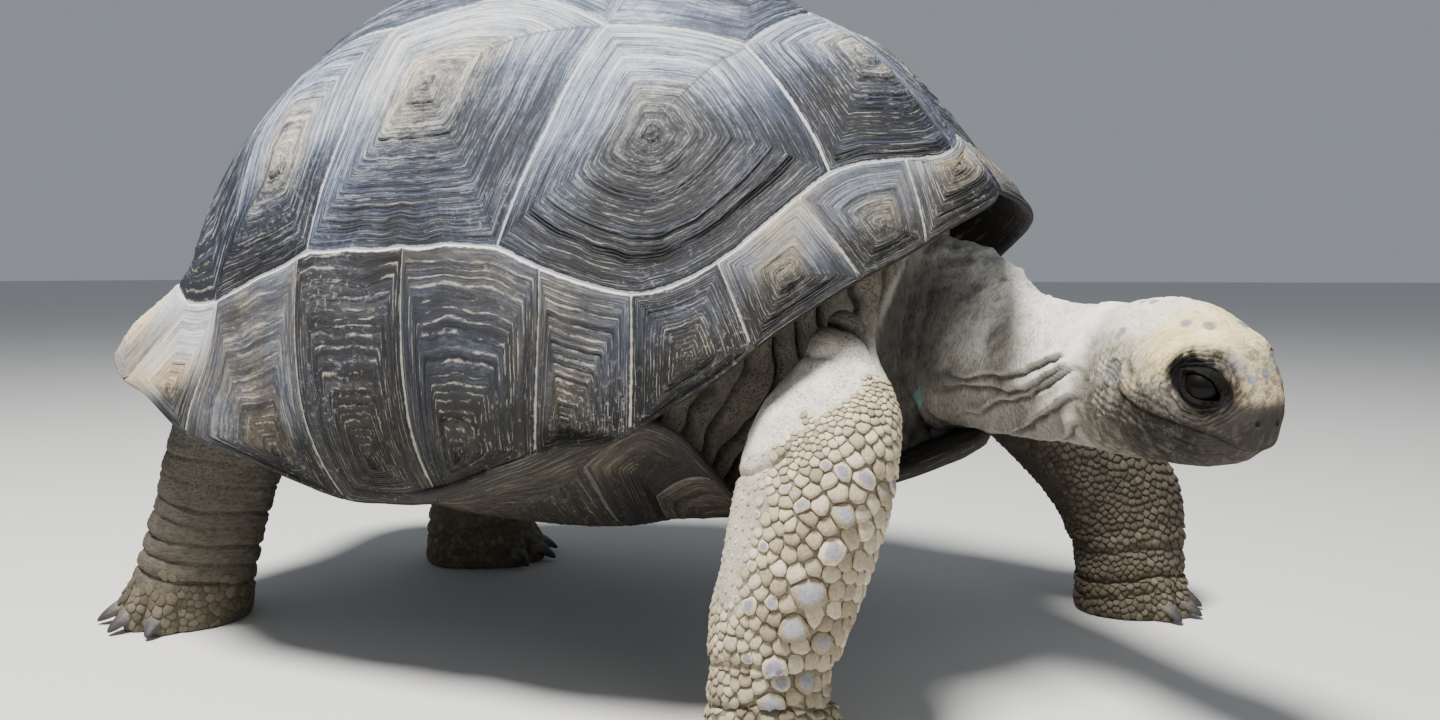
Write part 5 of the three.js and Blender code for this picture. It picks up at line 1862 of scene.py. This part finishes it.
def skin_look(name):
    """Leathery hide: its painted markings, crepe wrinkles, pores, and painted shade between the scales."""
    look = Look(name)
    place = look.place()
    pores = lambda scale: look.node("TexVoronoi", {"Vector": place, "Scale": scale}, out="Distance",
                                    feature="F1")
    grain, mottle = look.noise(place, 520.0, 4, .62), look.noise(place, 55.0, 4)
    mottled = look.ramp(mottle, [(.3, (.84, .83, .82)), (.55, (1, 1, 1)), (.75, (1.12, 1.11, 1.08))])
    colour = look.blend(1.0, look.tint("paint"), mottled, "MULTIPLY")
    leather = pores(360.0)
    lap, turned, folded = look.attribute("lap"), look.attribute("turned"), look.attribute("folded")
    strands = look.noise(look.vector(look.times(lap, 400.0), look.times(turned, 130.0), 0.0), 1.0, 4, .62)
    strand = look.times(folded, look.range(strands, .40, .50, 1, 0))
    colour = look.tinted(look.times(strand, .42), colour, (.22, .20, .18))
    colour = look.tinted(look.range(grain, .52, .66, 0, .30), colour, (1.45, 1.45, 1.42))
    colour = look.tinted(look.range(grain, .34, .46, .35, 0), colour, (.55, .53, .50))
    # painted shade on the skin between the scales
    colour = look.blend(look.times(look.attribute("under"), .62), colour, (.085, .070, .050))
    girth = look.range(look.noise(place, 38.0, 3), .30, .60, .14, .34)
    spots = look.range(look.minus(pores(340.0), girth), -.06, .04, 1, 0)
    spots = look.times(spots, look.attribute("speckle"))
    colour = look.blend(look.times(spots, .85), colour, (.026, .023, .020))
    calm = look.minus(1.0, look.times(look.attribute("smooth"), .6))
    height = look.times_plus(grain, .55, look.times(leather, -.30))
    height = look.times_plus(strand, -.42, height)
    height = look.times_plus(spots, -.45, height)
    roughness = look.times_plus(look.attribute("wet"), -.12, look.range(grain, .3, .7, .76, .92))
    return look.finish(colour, roughness, look.times(height, calm), .0012, .95, .12)


def scale_look(name):
    """Horny scales: the hide's paint, rubbed to beige and blue-grey on top, partly as painted sheen,
    and dark where they leave the skin, as painted shade.
    """
    look = Look(name)
    dome, own, size = look.attribute("dome"), look.attribute("own"), look.attribute("size")
    grain = look.noise(look.place(), 380.0, 4, .6)
    shades = look.ramp(own, [(.0, (.66, .62, .55)), (.3, (.90, .86, .78)), (.6, (1.04, 1.02, .98)),
                             (.86, (1.28, 1.27, 1.22))])
    base = look.blend(1.0, look.tint("paint"), shades, "MULTIPLY")
    # blue-grey on the tops of big pale scales: partly wear, partly painted sheen
    blue = look.blend(look.range(own, .90, .93), (.255, .275, .32), (.19, .185, .27))
    rare = look.times(look.range(own, .91, .94), look.range(size, .0072, .0085))
    big = look.math("MAXIMUM", look.range(size, .0150, .021), rare)
    pale = look.range(look.node("RGBToBW", {0: look.tint("paint")}), .08, .25, .12, .85)
    worn_and_sheen = look.times(look.range(dome, .35, .95, smooth=True), look.times(big, pale))
    colour = look.blend(worn_and_sheen, base, blue)
    grained = look.ramp(grain, [(.3, (.72, .70, .68)), (.7, (1.16, 1.14, 1.12))])
    colour = look.blend(1.0, colour, grained, "MULTIPLY")
    # painted shade where each scale's edge tucks into the skin
    root = look.range(dome, .0, .13, 1, 0, smooth=True)
    colour = look.tinted(look.times(root, .80), colour, (.16, .14, .11))
    return look.finish(colour, look.times_plus(worn_and_sheen, -.22, .80), grain, .0009, .7, .3)


def claw_look(name):
    look = Look(name)
    place = look.place()
    streak = look.noise(look.node("Mapping", {"Vector": place, "Scale": (140.0, 140.0, 260.0)}), 1.0, 5, .65)
    tip = look.attribute("tip")
    colour = look.ramp(look.times_plus(look.minus(streak, .5), .5, tip),
                       [(.30, (.20, .17, .125)), (.55, (.105, .095, .082)), (.80, (.040, .038, .038)),
                        (1.0, (.030, .029, .030))])
    return look.finish(colour, look.range(streak, .3, .7, .5, .72), streak, .0012, .8, .35)


def eye_look(name):
    look = Look(name)
    polar = look.attribute("polar")
    grain = look.noise(look.place(), 900.0, 3)
    iris = look.ramp(polar, [(.0, (.0012, .0012, .0012)), (.26, (.0012, .0012, .0012)),
                             (.30, (.0030, .0022, .0018)), (.52, (.0035, .0026, .0022)),
                             (.60, (.0018, .0016, .0015)), (.8, (.003, .0026, .0024))])
    colour = look.blend(look.times(grain, .35), iris, (.004, .003, .0026))
    return look.finish(colour, look.range(grain, .3, .7, .42, .52), grain, .00005, .2, .06,
                       {"Coat Weight": .16, "Coat Roughness": .03})


def plain_look(name, colour, roughness, spread=.15):
    look = Look(name)
    grain = look.noise(look.place(), 260.0, 4)
    dark = tuple(c * (1 - spread) for c in colour)
    light = tuple(min(1, c * (1 + spread)) for c in colour)
    return look.finish(look.ramp(grain, [(.3, dark), (.7, light)]), roughness, grain, .0004, .6, .4)


# ---------------------------------------------------------------- stage, lights and camera
CAMERA_AT = (np.array([545.7, -1260.5, 433.6]) + CENTRING) * MM
CAMERA_AZIMUTH, CAMERA_DOWN = math.radians(18.59), math.radians(4.41)
CAMERA_LENS, CAMERA_SENSOR = 28.0, 36.0


def aim(obj, place, way):
    """Sets a camera or lamp down and turns it to look along `way`."""
    obj.location = Vector(place)
    obj.rotation_mode = "QUATERNION"
    obj.rotation_quaternion = way.to_track_quat("-Z", "Y")


def make_camera():
    data = bpy.data.cameras.new("camera")
    data.lens, data.sensor_width = CAMERA_LENS, CAMERA_SENSOR
    data.clip_start, data.clip_end = .05, 200
    camera = put_in_scene("camera", data)
    level = math.cos(CAMERA_DOWN)
    back = Vector((math.sin(CAMERA_AZIMUTH) * level, -math.cos(CAMERA_AZIMUTH) * level,
                   math.sin(CAMERA_DOWN)))
    aim(camera, CAMERA_AT, -back)
    bpy.context.scene.camera = camera


def area_light(name, place, target, size, power, colour):
    data = bpy.data.lights.new(name, "AREA")
    data.shape, data.size, data.energy, data.color = "DISK", size, power, colour
    aim(put_in_scene(name, data), place, Vector(target) - Vector(place))


FLOOR_HALF, FLOOR_LEVEL, FLOOR_COLOUR = 60.0, -.0005, (.62, .615, .60)
SKY_COLOUR, SKY_STRENGTH = (.80, .86, .95, 1), .34
# place, target, size, power and colour
KEY_LIGHT = ((-.35, -1.45, 3.8), (.1, -.1, .35), 1.1, 470, (1, .98, .95))
FILL_LIGHT = ((2.6, -2.4, 1.5), (.3, 0, .3), 2.4, 12, (.9, .95, 1))


def make_stage():
    mesh = bpy.data.meshes.new("floor")
    corners = ((-1, -1), (1, -1), (1, 1), (-1, 1))
    mesh.from_pydata([(x * FLOOR_HALF, y * FLOOR_HALF, FLOOR_LEVEL) for x, y in corners], [], [(0, 1, 2, 3)])
    floor = put_in_scene("floor", mesh)
    floor.data.materials.append(plain_look("floor_look", FLOOR_COLOUR, .9, .02))
    world = bpy.data.worlds.new("world")
    world.use_nodes = True
    background = world.node_tree.nodes["Background"]
    background.inputs[0].default_value = SKY_COLOUR
    background.inputs[1].default_value = SKY_STRENGTH
    bpy.context.scene.world = world
    area_light("key", *KEY_LIGHT)
    area_light("fill", *FILL_LIGHT)


# ---------------------------------------------------------------- assembly
FLESH = ["trunk", "neck", "head", "lower_jaw", "tail"] + [
    f"{end}_{part}_{side}"
    for end in ("fore", "hind") for part in ("leg", "foot") for side in ("right", "left")]


def give(obj, material):
    obj.data.materials.clear()
    obj.data.materials.append(material)
    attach(obj, "root")


horn = shell_look("shell_horn")
horn_tan = shell_look("marginal_horn", 1.0)
pieces = make_shell()
for piece in pieces:
    give(piece, horn_tan if "marginal" in piece.name else horn)
rim = make_rim()
give(rim, shell_look("rim_horn", .3, 0.0, .22, 1.0))
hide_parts("carapace")
belly = make_plastron()
give(belly, shell_look("plastron_horn", .7, .12, .18, 1.0))
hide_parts("plastron")
skin, skin_info = make_skin()
give(skin, skin_look("skin"))
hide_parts(*FLESH)
scale_horn = scale_look("scales")
for coat in make_coat(skin, skin_info):
    give(coat, scale_horn)
claw_horn = claw_look("claw_horn")
for name in LIMBS:
    claws = make_claws(name)
    give(claws, claw_horn)
    end, side = name.split("_")
    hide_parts(*[f"{end}_claw_{side}_{k + 1}" for k in range(LIMBS[name][2])])
for side, tag in SIDES:
    ball = make_eye(side, tag)
    give(ball, eye_look("eye"))
    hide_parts(f"eye_{tag}")
make_stage()
make_camera()
